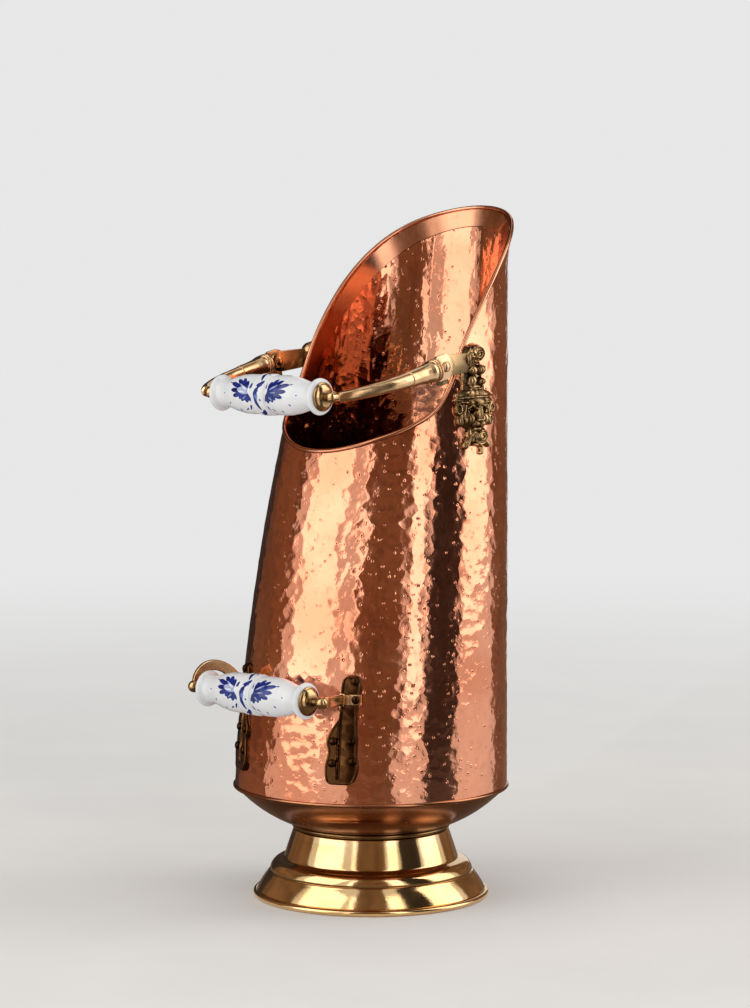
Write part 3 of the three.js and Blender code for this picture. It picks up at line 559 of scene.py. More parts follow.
def copper(name, bright, dull, rough, pitted):
    """Copper between a bright and a dull tone, browner where the mesh asks for painted shade;
    hammered sheet is pitted too, with painted shade in the pits.
    """
    f = Finish(name, Metallic=1.0)
    tone = f.mix(f.span(f.noise(14, 4), 0.35, 0.65, 0, 1), bright, dull)
    tone = f.mix(f.span(f.noise(160, 4), 0.5, 0.8, 0, 0.4), tone, tuple(0.75 * c for c in dull))
    tone = f.mix(f.read("age_and_shade"), tone, SHADED_COPPER_TONE)
    sheen = f.span(f.noise(22, 4), 0.3, 0.7, rough, 2 * rough)
    sheen = f.add(sheen, f.span(f.noise(260, 2, stretch=(1, 1, 0.12)), 0.5, 0.8, 0, 0.06))
    normal = f.bump(f.noise(900, 2), 0.00001)
    if pitted:
        share = PIT_R / PIT_SPACING
        near = f.cells(PIT_SPACING)
        core = f.span(near, share * 0.35, share * 0.8, 1, 0)
        bowl = f.span(near, 0, share * 1.1, -1, 0)
        brow = f.span(near, share * 0.8, share * 1.3, 0, 0.45)
        brow = f.times(brow, f.span(near, share * 1.3, share * 2.1, 1, 0))
        deep = f.span(f.noise(85, 1), 0.38, 0.6, 0.12, 1)
        mark = f.cells(MARK_SPACING)
        # The dark pit cores are painted shade in each pit.
        tone = f.mix(f.times(deep, core), tone, PIT_SHADE_TONE)
        sheen = f.add(sheen, f.times(core, 0.12))
        normal = f.bump(f.times(mark, mark), MARK_DEPTH, normal)
        normal = f.bump(f.noise(190, 2), RIPPLE_DEPTH, normal)
        normal = f.bump(f.times(deep, f.add(bowl, brow)), PIT_DEPTH, normal)
    return f.made(tone, sheen, normal)


def brass(name, bright, dull, dark, rough, tarnish, spun):
    """Brass between a bright and a dull tone; tarnish gathers in patches and old spots, hollows
    take patina and painted shade, ridges take wear and a painted highlight, and the value kept on
    the mesh darkens it further.
    """
    f = Finish(name, Metallic=1.0)
    tone = f.mix(f.span(f.noise(30, 5), 0.35, 0.68, 0, 1), bright, dull)
    ridges = f.node("NewGeometry", "Pointiness")
    hollow_patina_and_shade = f.span(ridges, 0.455, 0.51, 1, 0)
    wear_and_highlight = f.span(ridges, 0.51, 0.57, 0, 0.85)
    patches = f.span(f.noise(75, 5), 0.5, 0.75, 0, tarnish)
    tone = f.mix(patches, tone, tuple(0.5 * (a + b) for a, b in zip(dull, dark)))
    tone = f.mix(f.times(hollow_patina_and_shade, tarnish), tone, dark)
    # Ridges brighten with wear and with a painted highlight.
    tone = f.mix(wear_and_highlight, tone, bright)
    tone = f.mix(f.dots(0.009, 0.0006), tone, dark)
    age_and_shade = f.read("age_and_shade")
    tone = f.mix(age_and_shade, tone, dark)
    sheen = f.span(f.noise(45, 4), 0.3, 0.7, rough * 0.75, rough * 1.3)
    sheen = f.add(f.add(sheen, f.times(age_and_shade, 0.2)), f.times(patches, 0.2))
    normal = f.bump(f.noise(500, 3), 0.00003)
    if spun:
        normal = f.bump(f.noise(1400, 2, stretch=(0.04, 0.04, 1)), SPUN_DEPTH, normal)
    return f.made(tone, sheen, normal)


def porcelain(name):
    """White glaze with specks, painted blue where the mesh carries ink."""
    f = Finish(name, IOR=1.5)
    ink = f.read("ink")
    cloud = f.span(f.noise(60, 3), 0.35, 0.65, 0, 1)
    glaze = f.mix(cloud, (0.80, 0.81, 0.82), (0.74, 0.76, 0.79))
    glaze = f.mix(f.dots(0.006, 0.0003), glaze, (0.28, 0.27, 0.27))
    pooled = f.span(f.noise(260, 3), 0.4, 0.65, 0, 1)
    wash = f.mix(pooled, (0.008, 0.024, 0.23), (0.003, 0.007, 0.09))
    tone = f.mix(f.span(ink, 0.04, 0.4, 0, 1), glaze, (0.10, 0.19, 0.57))
    tone = f.mix(f.span(ink, 0.24, 0.6, 0, 1), tone, wash)
    sheen = f.span(f.noise(35, 3), 0.3, 0.7, 0.06, 0.12)
    return f.made(tone, sheen, f.bump(f.noise(120, 2), 0.0001))


FINISHES = {name: copper(name, *values) for name, values in COPPERS.items()}
FINISHES.update({name: brass(name, *values) for name, values in BRASSES.items()})
FINISHES["porcelain"] = porcelain("porcelain")


def shown(name, data):
    """Adds an object to the scene."""
    obj = bpy.data.objects.new(name, data)
    scene.collection.objects.link(obj)
    return obj


def piece(name, parts, slot, body="scuttle", ink=None, age_and_shade=None):
    """A piece made of closed parts, which stands for the CAD node of its name.

    Ink and the darkening value go from 0 to 1, as one number or one for each point; the darkening
    is tarnish on some pieces and painted shade on others.
    It may also be a function of points, for which both sides count as the right one.
    """
    points, faces = [], []
    for part_points, part_faces in parts:
        start = sum(len(p) for p in points)
        points.append(part_points)
        faces += [[i + start for i in f] for f in part_faces]
    points = np.concatenate(points)
    mesh = bpy.data.meshes.new("visual_" + name)
    mesh.from_pydata((points * MM + AXIS).tolist(), [], faces)
    if callable(age_and_shade):
        age_and_shade = age_and_shade(np.abs(points) * [1, 0, 0] + points * [0, 1, 1])
    for label, values in (("ink", ink), ("age_and_shade", age_and_shade)):
        if values is not None:
            layer = mesh.attributes.new(label, "FLOAT", "POINT")
            values = np.broadcast_to(np.ravel(values), len(points)).astype(np.float32)
            layer.data.foreach_set("value", values)
    mesh.shade_smooth()
    mesh.set_sharp_from_angle(angle=np.radians(SHARP_FROM))
    mesh.materials.append(FINISHES[slot])
    obj = shown("visual_" + name, mesh)
    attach(obj, body)
    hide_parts(name)


def pair(name, parts, slot, body="scuttle", left=None, age_and_shade=None):
    """The same piece on both sides, or a different left one."""
    piece(name + "_right", parts, slot, body, age_and_shade=age_and_shade)
    piece(name + "_left", mirrored(parts if left is None else left), slot, body, age_and_shade=age_and_shade)


# ---- body


def dents(angle, z):
    """How far the hammered sheet stands out of its even surface."""
    rng = np.random.default_rng(DENT_SEED)
    rows = int(BODY_TOP / DENT_H) + 3
    shift = rng.uniform(-DENT_WANDER, DENT_WANDER, (rows, DENTS_ROUND, 2))
    strength = rng.uniform(*DENT_STRENGTH, (rows, DENTS_ROUND))
    u = np.mod(angle, 2 * np.pi) / (2 * np.pi) * DENTS_ROUND
    v = z / DENT_H
    total = np.zeros(np.broadcast(u, v).shape)
    row, column = np.floor(v).astype(int), np.floor(u).astype(int)
    for dj in range(-2, 3):
        for di in range(-2, 3):
            j = np.clip(row + dj, 0, rows - 1)
            i = np.mod(column + di, DENTS_ROUND)
            du = u - (column + di + 0.5 + 0.5 * (j % 2) + shift[j, i, 0])
            dv = v - (row + dj + 0.5 + shift[j, i, 1])
            total += np.exp(-DENT_SHARPNESS * strength[j, i] * (du**2 + dv**2))
    marks = -np.log(total + 1e-9) / DENT_SHARPNESS - DENT_MIDDLE
    patchy = 1 + 0.25 * np.sin(3 * angle + 1.1)
    waves = np.zeros_like(marks)
    for _ in range(WAVES):
        turns, climb = rng.integers(4, 19), rng.uniform(-0.05, 0.05)
        waves += np.sin(turns * angle + climb * z + rng.uniform(0, 6.3)) * WAVE_DEPTH
    at_rim = smooth(*MARKS_FADE_OUT, z - rim_height(angle))
    calm = smooth(*MARKS_SET_IN, z) * (1 - RIM_CALM * at_rim)
    return calm * (DENT_DEPTH * marks * patchy + waves * WAVE_SHARE)


def body_shell():
    angle = evenly(WALL_COLUMNS)[:, None]
    top = rim_height(angle)
    bottom = SEAM_Z + SHELL_LIFT

    def face(rows, out):
        z = bottom + (top - bottom) * np.linspace(0, 1, rows)
        return wall(angle + 0 * z, z, dents(angle, z) + out)

    outside = face(WALL_ROWS, 0)
    inside = face(INNER_ROWS, -SHEET)[:, ::-1]
    return skin(np.concatenate([outside, inside], 1), closed=True)


def rim_stations():
    """Middle of the sheet's edge all round, with the directions along and off the edge."""
    angle = evenly(RIM_STATIONS)
    at = lambda a: wall(a, rim_height(a), -SHEET / 2)
    along = unit(at(angle + 0.01) - at(angle - 0.01))
    off_edge = unit(np.cross(wall_normal(angle, rim_height(angle)), along))
    off_edge *= np.sign(off_edge[:, 2:])
    return at(angle), along, off_edge


def rim_wire():
    edge, along, off_edge = rim_stations()
    side = np.cross(off_edge, along)
    t = evenly(20)
    ring = np.cos(t)[None, :, None] * off_edge[:, None] + np.sin(t)[None, :, None] * side[:, None]
    station = np.arange(RIM_STATIONS)
    wobble = 0.965 + 0.03 * np.sin(station * 0.31) * np.sin(station * 0.083 + 1)
    centre = edge + off_edge * (RIM_WIRE_R - 0.1)
    return skin(centre[:, None] + ring * RIM_WIRE_R * wobble[:, None, None], closed=True)


def mouth_hem():
    edge, _, off_edge = rim_stations()
    rings = []
    for down, out in [
        (0.2, 0.4), (HEM_W - 0.6, 0.4), (HEM_W, -0.3),
        (HEM_W - 0.4, -0.75), (HEM_W * 0.5, -0.9), (0.2, -0.9),
    ]:
        p = edge - off_edge * down
        angle = np.arctan2(p[:, 0], section(p[:, 2])[0] - p[:, 1])
        rings.append(wall(angle, p[:, 2], out - SHEET))
    return skin(np.stack(rings, 1), closed=True)


def dish():
    flat_z = FOOT_TOP_Z + 2 * GAP + NECK_H
    low = SEAM_Z - SEAM_BEAD_R
    path = bezier([[DISH_FLAT_R, flat_z], DISH_BELLY, [SEAM_R - SEAM_BEAD_R, low]], 40)
    along = unit(np.gradient(path, axis=0))
    inner = path + np.stack([-along[:, 1], along[:, 0]], -1) * SPUN
    spigot_r = lambda z: -wall_line(-SEAM_R, FRONT_SLOPE, FRONT_CURVE, z) - SHEET - GAP
    top = SEAM_Z + SEAM_BEAD_R + GAP + SPIGOT_H
    profile = [
        [0, flat_z], [DISH_FLAT_R - 1.5, flat_z], *path,
        *arc(SEAM_R - 0.2, SEAM_Z, SEAM_BEAD_R, -80, 90),
        [spigot_r(SEAM_Z), SEAM_Z + SEAM_BEAD_R], [spigot_r(top), top],
        [spigot_r(top) - SPUN, top], [spigot_r(top) - SPUN, low], *inner[::-1],
        [0, flat_z + SPUN],
    ]
    return turned(profile, (0, 0, 0), (0, 0, 1), ROUND_STEPS)


def foot():
    """Outside from the top down over cone, shoulder, skirt and rolled edge, then inside."""
    cone_top, cone_low = [CONE_TOP_R, FOOT_TOP_Z], [CONE_LOW_R, CONE_LOW_Z]
    step = [SKIRT_TOP_R, SKIRT_TOP_Z]
    shoulder = [SKIRT_TOP_R - 2.8, CONE_LOW_Z - 1]
    profile = [
        [0, FOOT_TOP_Z], *soften(off(cone_top, [-3, 0], [0, -0.4], [0.4, -2]), 0.9),
        *bezier([*off(cone_top, [0.4, -2]), CONE_BEND, *off(cone_low, [0, 0.3])], 10),
        *bezier(
            [*off(cone_low, [0.3, -0.5], [1.4, -2.9]), shoulder, *off(step, [-0.6, 1.2])], 16
        ),
        *off(step, [-0.9, 0.3], [0, 0]),
        *bezier([*off(step, [0.4, -0.6]), SKIRT_BEND, [FOOT_R - 3.4, 5.6]], 10),
        *arc(FOOT_R - FOOT_EDGE_R, FOOT_EDGE_R, FOOT_EDGE_R, 120, -90), [FOOT_FLAT_IN, 0],
        [FOOT_FLAT_IN, SPUN], [FOOT_R - 4.6, SPUN], [FOOT_R - 4.6, 5],
        *off(step, [-2.4, -1.6], [-6.6, 3.2]), *off(cone_low, [1.4, -4], [-1.7, -1]),
        [CONE_TOP_R - 2.4, FOOT_TOP_Z - SPUN], [0, FOOT_TOP_Z - SPUN],
    ]
    return turned(profile, (0, 0, 0), (0, 0, 1), ROUND_STEPS)


def neck_ring():
    low, half = FOOT_TOP_Z + GAP, NECK_H / 2
    outer = arc(NECK_R - half, low + half, half, -90, 90)
    profile = [[NECK_BORE_R, low], *outer, [NECK_BORE_R, low + NECK_H]]
    return skin(lathe(profile, NECK_STEPS).transpose(1, 0, 2), closed=True)


# Painted shade: the outside keeps its tone; the inside darkens from the rim down.
wall_painted_shade = np.append(np.zeros(WALL_ROWS), np.linspace(0.15, 1, INNER_ROWS))

for name, made, slot, age_and_shade in [
    ("body_shell", body_shell(), "hammered_copper", np.tile(wall_painted_shade, WALL_COLUMNS)),
    ("rim_wire", rim_wire(), "smooth_copper", None),
    # The hem's 0.3 is painted shade inside the mouth.
    ("mouth_hem", mouth_hem(), "smooth_copper", 0.3),
    # The dish's 0.9 is a painted dark reflection.
    ("base_dish", dish(), "smooth_copper", 0.9),
    ("foot", foot(), "polished_brass", None),
    # The neck ring's 0.75 is a painted shadow under the dish.
    ("neck_ring", neck_ring(), "polished_brass", 0.75),
]:
    piece(name, [made], slot, age_and_shade=age_and_shade)

# ---- rivets


def rivet(at, along, grip, sizes):
    """A domed rivet, with its tail beyond the thickness that it grips."""
    r, head_r, head_h, tail_r, tail_h = sizes
    bow = np.linspace(0, np.pi / 2, 10)
    dome = [[head_r * np.sin(t), 0.4 + (head_h - 0.1) * np.cos(t)] for t in bow]
    dome[0][0] = 0
    end = -grip
    low = end - tail_h
    tail = [[tail_r, end], [tail_r, end - tail_h * 0.5], [tail_r * 0.6, low], [0, low]]
    return turned([*dome, [head_r - 0.2, 0], [r, 0], [r, end], *tail], at, along, 24)


def wall_rivet(angle, z, front):
    return rivet(wall(angle, z, front), wall_normal(angle, z), front + SHEET, WALL_RIVET)


def mount_middle(z):
    """Angle round the body of a mount's middle line, which leans."""
    return MOUNT_ANGLE + MOUNT_LEAN * (PIVOT_Z - z) / section(z)[1]


TIP_FOOT_BACK = 2 * GAP + BRACKET_T
TIP_FOOT_FRONT = TIP_FOOT_BACK + TIP_FOOT_T
for number, (degrees, height) in enumerate(BRACKET_RIVETS, 1):
    made = wall_rivet(np.radians(degrees), TIP_FOOT_Z + height, GAP + BRACKET_T)
    pair(f"tip_bracket_rivet_{number}", [made], "brown_brass", age_and_shade=0.6)
made = wall_rivet(TIP_FOOT_RIVET, TIP_FOOT_Z, TIP_FOOT_FRONT)
pair("tip_arm_rivet", [made], "brown_brass", age_and_shade=0.4)
for number, height in enumerate(MOUNT_RIVET_H, 1):
    z = PIVOT_Z + height
    angle = mount_middle(z)
    made = rivet(wall(angle, z, -SHEET), -wall_normal(angle, z), SHEET + 1, MOUNT_RIVET)
    pair(f"mask_mount_rivet_{number}", [made], "dark_cast_brass")

# ---- brackets


def bracket():
    """A tapered plate with a beaded edge and a rib, a little uneven."""
    rows = TIP_FOOT_Z + np.linspace(BRACKET_EDGE[0][0], BRACKET_EDGE[-1][0], 180)[:, None]
    over = rows - TIP_FOOT_Z
    table = np.array(BRACKET_EDGE)
    left, right = (np.radians(through(table[:, [0, c]], over)) for c in (1, 2))
    share = np.linspace(0, 1, 50)
    angle = left + (right - left) * share
    radius = section(rows)[1]
    edge = np.minimum(angle - left, right - angle) * radius
    edge = np.minimum(edge, np.minimum(rows - rows.min(), rows.max() - rows))
    degrees, low, high, width, size = BRACKET_RIB
    across = np.abs(angle - np.radians(degrees)) * radius
    rib = np.clip(1 - across / width, 0, 1) ** 1.3 * smooth(low - 2, low + 3, over)
    rib = rib * (1 - smooth(high - 4, high, over)) * size
    inside, width, size = BRACKET_BEAD
    bead = size * np.exp(-(((edge - inside) / width) ** 2))
    wave = 0.12 * np.sin(over * 0.5 + 3 * share) + 0.1 * np.sin(over * 0.21 + 1)
    front = (GAP + BRACKET_T + rib + bead + wave) * rounded_edge(edge, BRACKET_ROUNDING)
    return relief(wall(angle, rows, front), wall(angle, rows, -BRACKET_SUNK))


pair("tip_bracket", [bracket()], "brown_brass")

# ---- mounts

EAR_X = float(section(PIVOT_Z)[1]) + EAR_CLEAR
FORK_X = EAR_X + EAR_T + GAP
BAIL_X = FORK_X + FORK_T / 2
BAIL_ALONG = np.array([0, -np.cos(BAIL_TILT), -np.sin(BAIL_TILT)])
BAIL_UP = np.array([0, -np.sin(BAIL_TILT), np.cos(BAIL_TILT)])


def bail_at(x, along, up=0.0):
    x, along, up = np.broadcast_arrays(np.asarray(x, float), along, up)
    start = np.stack([x, np.full_like(x, PIVOT_Y), np.full_like(x, PIVOT_Z)], -1)
    return start + along[..., None] * BAIL_ALONG + up[..., None] * BAIL_UP


def spiral(u, v, outer, inner, turns, start):
    t = np.linspace(0, 1, 70)
    r = outer + (inner - outer) * t
    angle = np.radians(start) + 2 * np.pi * turns * t
    return np.stack([u + r * np.cos(angle), v + r * np.sin(angle)], -1)


# Grid of the relief, its ground, the height that stays, lift over the rim, strength of lines.
MOUNT_STEP = 0.31
MOUNT_SUNK = -1.2
MOUNT_CUT = -0.9
MOUNT_LIFT = 1.2
LINE_SHARE = 0.6
EAR_END_Y = 23.2
# Span along the ear over which painted shade darkens it toward the mask.
EAR_SHADE = (-14, 20)
# [across, height over the pivot, half width, half height, relief]
MOUNT_DOMES = [
    [-1.2, 9.6, 8.4, 7.6, 8.6], [-8.6, 6.5, 4.8, 9.2, 8.2], [-1.6, -6, 10.2, 13, 3.6],
    [-9, -4, 5, 15, 3.2], [-4.6, -3.6, 5.2, 4.6, 8], [3.4, -3.4, 5, 4.6, 8.2],
    [-4.8, -11.6, 5.2, 5.2, 7.4], [3.4, -12.4, 3.7, 3.6, 9.2], [-1, -17.5, 12, 7, 4.2],
    [0, -23.5, 19.5, 5.6, 5.2], [0, -27, 20.4, 4.2, 5.4], [0, -37, 18.4, 14.2, 5.8],
    [0, -28.6, 10.5, 5, 8], [-7.2, -41.4, 5.4, 5.8, 8.2], [7.2, -41.4, 5.4, 5.8, 8.2],
    [0, -36.6, 2.5, 8, 10.6], [0, -42.2, 3, 2.2, 11.2], [-2.9, -45.2, 3.9, 3.4, 9.4],
    [2.9, -45.2, 3.9, 3.4, 9.4], [0, -49.2, 3.4, 2.6, 7.6], [16.4, -33, 4.8, 5.2, 6.4],
    [15.8, -42.4, 4.6, 5, 5.6], [-16.2, -34, 4.2, 5.6, 5.4], [-14.6, -43.4, 4, 4.6, 4.6],
    [5.4, -55.2, 8.4, 7.8, 5.2], [-3, -54, 6, 7, 4.4],
]
MOUNT_HOLLOWS = [
    [-5.6, -34.6, 3.2, 2.6, 4.2], [5.6, -34.6, 3.2, 2.6, 4.2], [16.6, -33, 2.5, 2.9, 3.6],
    [16, -42.4, 2.2, 2.6, 2.8], [-16.4, -34, 2.2, 3.2, 2.6], [0, -47.6, 3.6, 0.9, 2.6],
]
# [points, half width, relief]
MOUNT_BARS = [
    [[[-2, -50], [-5.5, -56], [-9.2, -62.5]], 3.4, 4],
    [[[9, -57], [13, -60], [15.6, -62.2]], 2.8, 3.4],
    [[[6.2, -61], [7.4, -65], [7.4, -68.4]], 2, 3.4], [[[-1.5, -61.4], [6.5, -62.8]], 1.5, 4],
]
MOUNT_LINES = [
    [spiral(-1.2, 9.6, 7.2, 1, 1.9, 200), 0.8, 2.8],
    [[[-8.6, 9.4], [-7.4, 4.4], [-3.2, 1.6], [3, 0.2], [8.2, -1.4], [9.4, -6]], 0.9, 2.8],
    [[[-8.4, 14.6], [-12.2, 9], [-11.6, 1.5]], 0.75, 2],
    [[[-7.6, -1.4], [-11.2, -7], [-10, -13], [-6.2, -17]], 0.85, 2.4],
    [[[-3, -18.4], [3.8, -18], [7.8, -14.2]], 0.8, 2.2],
    [[[-18.6, -25.4], [-9, -25], [0, -24.2], [9, -24.6], [18.8, -23.4]], 0.9, 2.6],
    [[[9.4, -29], [14, -28.4], [19.4, -28.6]], 0.8, 2.2],
    [[[-9.4, -29.2], [-14, -28.8], [-18.4, -29.4]], 0.8, 2.2],
    [[[-9.6, -33.4], [-6, -31.2], [-2.2, -33.4]], 0.95, 2.8],
    [[[2.2, -33.4], [6, -31.2], [9.6, -33.4]], 0.95, 2.8],
    *([[[a * 11, -31], [a * 12.4, -37], [a * 11.2, -45]], 0.8, 2.2] for a in (1, -1)),
    [spiral(5.4, -55.2, 7.2, 1.2, 1.7, 170), 0.85, 2.6],
    *([[[a, -19], [b, -23]], 0.6, 1.4] for a, b in [(-6, -7.2), (-2, -2.4), (2, 2.2), (6, 7)]),
    [[[-9.4, -60], [-5, -54], [-2.6, -51]], 0.7, 1.8],
]


def domed(u, v, cu, cv, ru, rv):
    return np.sqrt(np.clip(1 - ((u - cu) / ru) ** 2 - ((v - cv) / rv) ** 2, 0, 1))


def along_path(u, v, path, width):
    """1 on a path, falling to 0 at a distance from it."""
    path = np.array(path, float)
    best = np.full(u.shape, 1e9)
    for (au, av), (bu, bv) in zip(path[:-1], path[1:]):
        du, dv = bu - au, bv - av
        t = np.clip(((u - au) * du + (v - av) * dv) / (du * du + dv * dv), 0, 1)
        best = np.minimum(best, np.hypot(u - au - t * du, v - av - t * dv))
    return np.clip(1 - (best / width) ** 2, 0, 1)


def mount_plate():
    """The cast scroll and mask as a relief with its back against the wall."""
    u, v = np.meshgrid(np.arange(-26, 23, MOUNT_STEP), np.arange(-74, 19, MOUNT_STEP))
    sunk = MOUNT_SUNK
    height = np.full(u.shape, sunk)
    for *place, size in MOUNT_DOMES:
        height = np.maximum(height, sunk + (size - sunk) * domed(u, v, *place) ** 0.7)
    for path, width, size in MOUNT_BARS:
        d = np.sqrt(along_path(u, v, path, width))
        height = np.maximum(height, sunk + (size - sunk) * d)
    solid = height > 0.6
    for path, width, size in MOUNT_LINES:
        raised = height + size * LINE_SHARE * along_path(u, v, path, width)
        height = np.where(solid, raised, height)
    for *place, size in MOUNT_HOLLOWS:
        height -= size * domed(u, v, *place) ** 1.2
    for _ in range(2):
        padded = np.pad(height, 1, mode="edge")
        ring = padded[:-2, 1:-1] + padded[2:, 1:-1] + padded[1:-1, :-2] + padded[1:-1, 2:]
        height = 0.5 * height + 0.125 * ring
    z = PIVOT_Z + v
    centre, radius = section(z)
    angle = mount_middle(z) + u / radius
    over_rim = z - through(MOUTH, centre - radius * np.cos(angle))
    lift = MOUNT_LIFT * smooth(-14, -7, over_rim)
    stays = (height[:-1, :-1] > MOUNT_CUT) | (height[1:, 1:] > MOUNT_CUT)
    low = np.minimum(-0.6 + lift, height + lift - 0.2)
    return relief(wall(angle, z, height + lift + 0.3), wall(angle, z, low), stays)


def ear():
    start = 90 + np.degrees(EAR_DROP)
    outline = arc(0, 0, EAR_R, start, start - 180, 24)
    back = np.array([-np.cos(EAR_DROP), -np.sin(EAR_DROP)]) * EAR_REACH
    low = np.array([np.sin(EAR_DROP), -np.cos(EAR_DROP)]) * (EAR_R - 1.4)
    outline += [(back + low).tolist(), (back - low).tolist()]
    return plate(outline, EAR_X, EAR_T)


def lug():
    """The stop under a fork: a stem from the ear, and a pad that reaches under the fork."""
    top = -FORK_R - GAP
    low, front = top - STOP_H, STOP_W - 1
    stem = [[-1, -EAR_R / 2], [-1, low], [front, low], [front - 1.4, -EAR_R / 2]]
    pad = [[-1, top], [-1, low], [front, low], [front, top]]
    return [plate(stem, EAR_X, EAR_T), plate(pad, EAR_X, EAR_T + GAP + FORK_T)]


def mount_painted_shade(p):
    """Painted shade: the ear darkens toward the mask, and the lug under the fork is dark."""
    in_ear = np.abs(p[:, 0] - EAR_X - EAR_T / 2) < EAR_T / 2 + 0.05
    back = 0.9 * smooth(*EAR_SHADE, p[:, 1]) * (in_ear & (p[:, 1] < EAR_END_Y))
    low = 0.8 * smooth(PIVOT_Z - 6, PIVOT_Z - 10, p[:, 2]) * (p[:, 1] < PIVOT_Y + 5)
    return np.maximum(back, low)


pair("mask_mount", [mount_plate(), ear(), *lug()], "dark_cast_brass", age_and_shade=mount_painted_shade)

# ---- bail


def socket_parts():
    outline = arc(0, 0, FORK_R, 90, 270, 24)
    outline += [[STOP_W - 1, -FORK_R], [SOCKET_START + 1, 0.3 - SOCKET_R]]
    outline += [[SOCKET_START + 1, SOCKET_R - 0.3], [STOP_W - 1, FORK_R]]
    fork = plate(outline, FORK_X, FORK_T, 0.6)
    ringed = off(
        [SOCKET_R, SOCKET_START],
        [-0.7, 0], [0, 0.7], [0, 2.2], [-1.2, 2.8], [0, 3.4], [0, 4.8], [-1.2, 5.5],
        [-0.2, 6.2], [-0.3, 8.6], [-1.1, 12], [-1.9, 16.5], [-2.35, 22],
    )
    profile = [
        [0, SOCKET_START], *ringed,
        *off([ARM_R_SOCKET, SOCKET_END], [0.35, -3], [0.2, 0], [-0.4, 0]),
        [ARM_R_SOCKET - 0.4, ARM_INSERT], [0, ARM_INSERT],
    ]
    return [fork, turned(soften(profile, 0.6, 3), bail_at(BAIL_X, 0), BAIL_ALONG, 56)]


def bail_arm():
    bend = bezier(
        [
            bail_at(BAIL_X, SOCKET_END), bail_at(BAIL_X, BAIL_LENGTH * ARM_BEND_FROM),
            bail_at(BAIL_X - ARM_BEND_IN, BAIL_LENGTH + 0.4), bail_at(BAIL_BALL_X + 1, BAIL_LENGTH),
        ],
        84,
    )
    straight = bail_at(BAIL_X, np.linspace(ARM_INSERT, SOCKET_END, 9)[:-1])
    path = np.concatenate([straight, bend])
    reach = lengths(path)
    left = reach[-1] - reach
    radii = ARM_R_GRIP + (ARM_R_SOCKET - ARM_R_GRIP) * left / reach[-1]
    neck = 1 - ARM_NECK * smooth(6.2, 5.0, left)
    swell = 1 + 0.012 * np.sin(reach * 0.4)
    return sweep(path, radii * neck * swell, BAIL_UP)


def stroke(x, s, at, degrees, length, width, belly):
    """Strength of one tapered brush stroke over a surface with coordinates x and s."""
    t = np.radians(degrees)
    along = ((x - at[0]) * np.cos(t) + (s - at[1]) * np.sin(t)) / length
    across = -(x - at[0]) * np.sin(t) + (s - at[1]) * np.cos(t)
    half = width * np.sqrt(np.clip(np.sin(np.pi * np.clip(along, 0, 1) ** belly), 0, 1)) + 1e-6
    streak = 0.8 + 0.2 * np.sin(across * 7 + along * 2 + degrees)
    strength = 1 - smooth(0.7, 1.05, np.abs(across) / half)
    return np.where((along > 0) & (along < 1), strength, 0) * streak


def flower():
    """Strokes of one spray: a fan of petals that opens away from the belt, leaves and specks."""
    heart = (10.4, 2.6)
    strokes = []
    for k in range(11):
        degrees = 74 - 17.5 * k
        length = 7.4 + 12.6 * np.exp(-(((degrees - 18) / 42) ** 2)) + 1.5 * (k % 2)
        strokes.append((heart, degrees, length, 1.55 + 0.028 * length, 2.1, 1))
    for k in range(6):
        strokes.append((heart, 60 - 26 * k, 7.5, 1.3, 1.2, 1))
    strokes += [
        ((8.8, 5.4), 104, 5.2, 1.1, 0.8, 1), ((9.4, -1.4), -122, 5.4, 1, 0.8, 1),
        ((8.4, -8.6), -64, 5.2, 0.8, 0.7, 1), ((12.6, -11.6), -36, 3.6, 0.7, 0.7, 1),
        ((31, -7), -60, 2.8, 0.6, 0.7, 0.8), ((30.5, 10.4), 24, 2.8, 0.6, 0.7, 0.8),
        ((37.5, 1), 10, 1.6, 0.6, 0.7, 0.8), ((22, -13), -80, 3.2, 0.7, 0.7, 0.9),
    ]
    return strokes


# Strokes of bare glaze that part the petals of a spray.
PARTINGS = [
    ((12.2, 4.4), 30, 9.4, 0.9, 0.8), ((13, 2.2), 4, 7.4, 0.6, 0.8),
    ((12, -0.6), -40, 5.4, 0.6, 0.8),
]
OPEN_HEART = ((8.6, 2.6), 8, 13.5, 3.6, 0.9)

RIBBON = [
    ((5.4, 12.6), 232, 9.4, 1.9, 0.9, 1), ((3.2, 9.6), 205, 5.2, 1.4, 1, 1),
    ((0.6, 5.6), 236, 6.4, 2.2, 0.9, 1), ((-1.2, 3.4), -88, 8.2, 2.6, 0.9, 0.42),
    ((-3.7, 2.6), -74, 8.6, 0.9, 0.8, 1), ((-1.9, -2.6), -70, 10.6, 1.7, 0.5, 1),
    ((2.6, -3), -40, 2.2, 0.7, 0.7, 1),
]


def painted(x, s, strokes):
    ink = np.zeros(np.broadcast(x, s).shape)
    for at, degrees, length, width, belly, weight in strokes:
        ink = np.maximum(ink, weight * stroke(x, s, at, degrees, length, width, belly))
    return ink


def sprays(x, s, round_):
    """Blue brushed sprays on both bulges and a ribbon round the belt."""
    ink = np.zeros(np.broadcast(x, s).shape)
    for side in (1, -1):
        for turn in (0, 0.5):
            up = 0.5 * round_ - np.mod(s - turn * round_ + 0.5 * round_, round_)
            spray = painted(side * x, up, flower())
            for parting in PARTINGS if side > 0 else [*PARTINGS, OPEN_HEART]:
                spray *= 1 - 0.9 * stroke(side * x, up, *parting)
            ink = np.maximum(ink, spray)
    repeat = round_ / 4
    up = 0.5 * repeat - np.mod(s + 0.5 * repeat, repeat)
    on_belt = np.abs(x) < GRIP_BELT_HALF - 0.2
    return np.where(on_belt, painted(x, up, RIBBON), ink * (np.abs(x) > GRIP_BELT_HALF + 2))


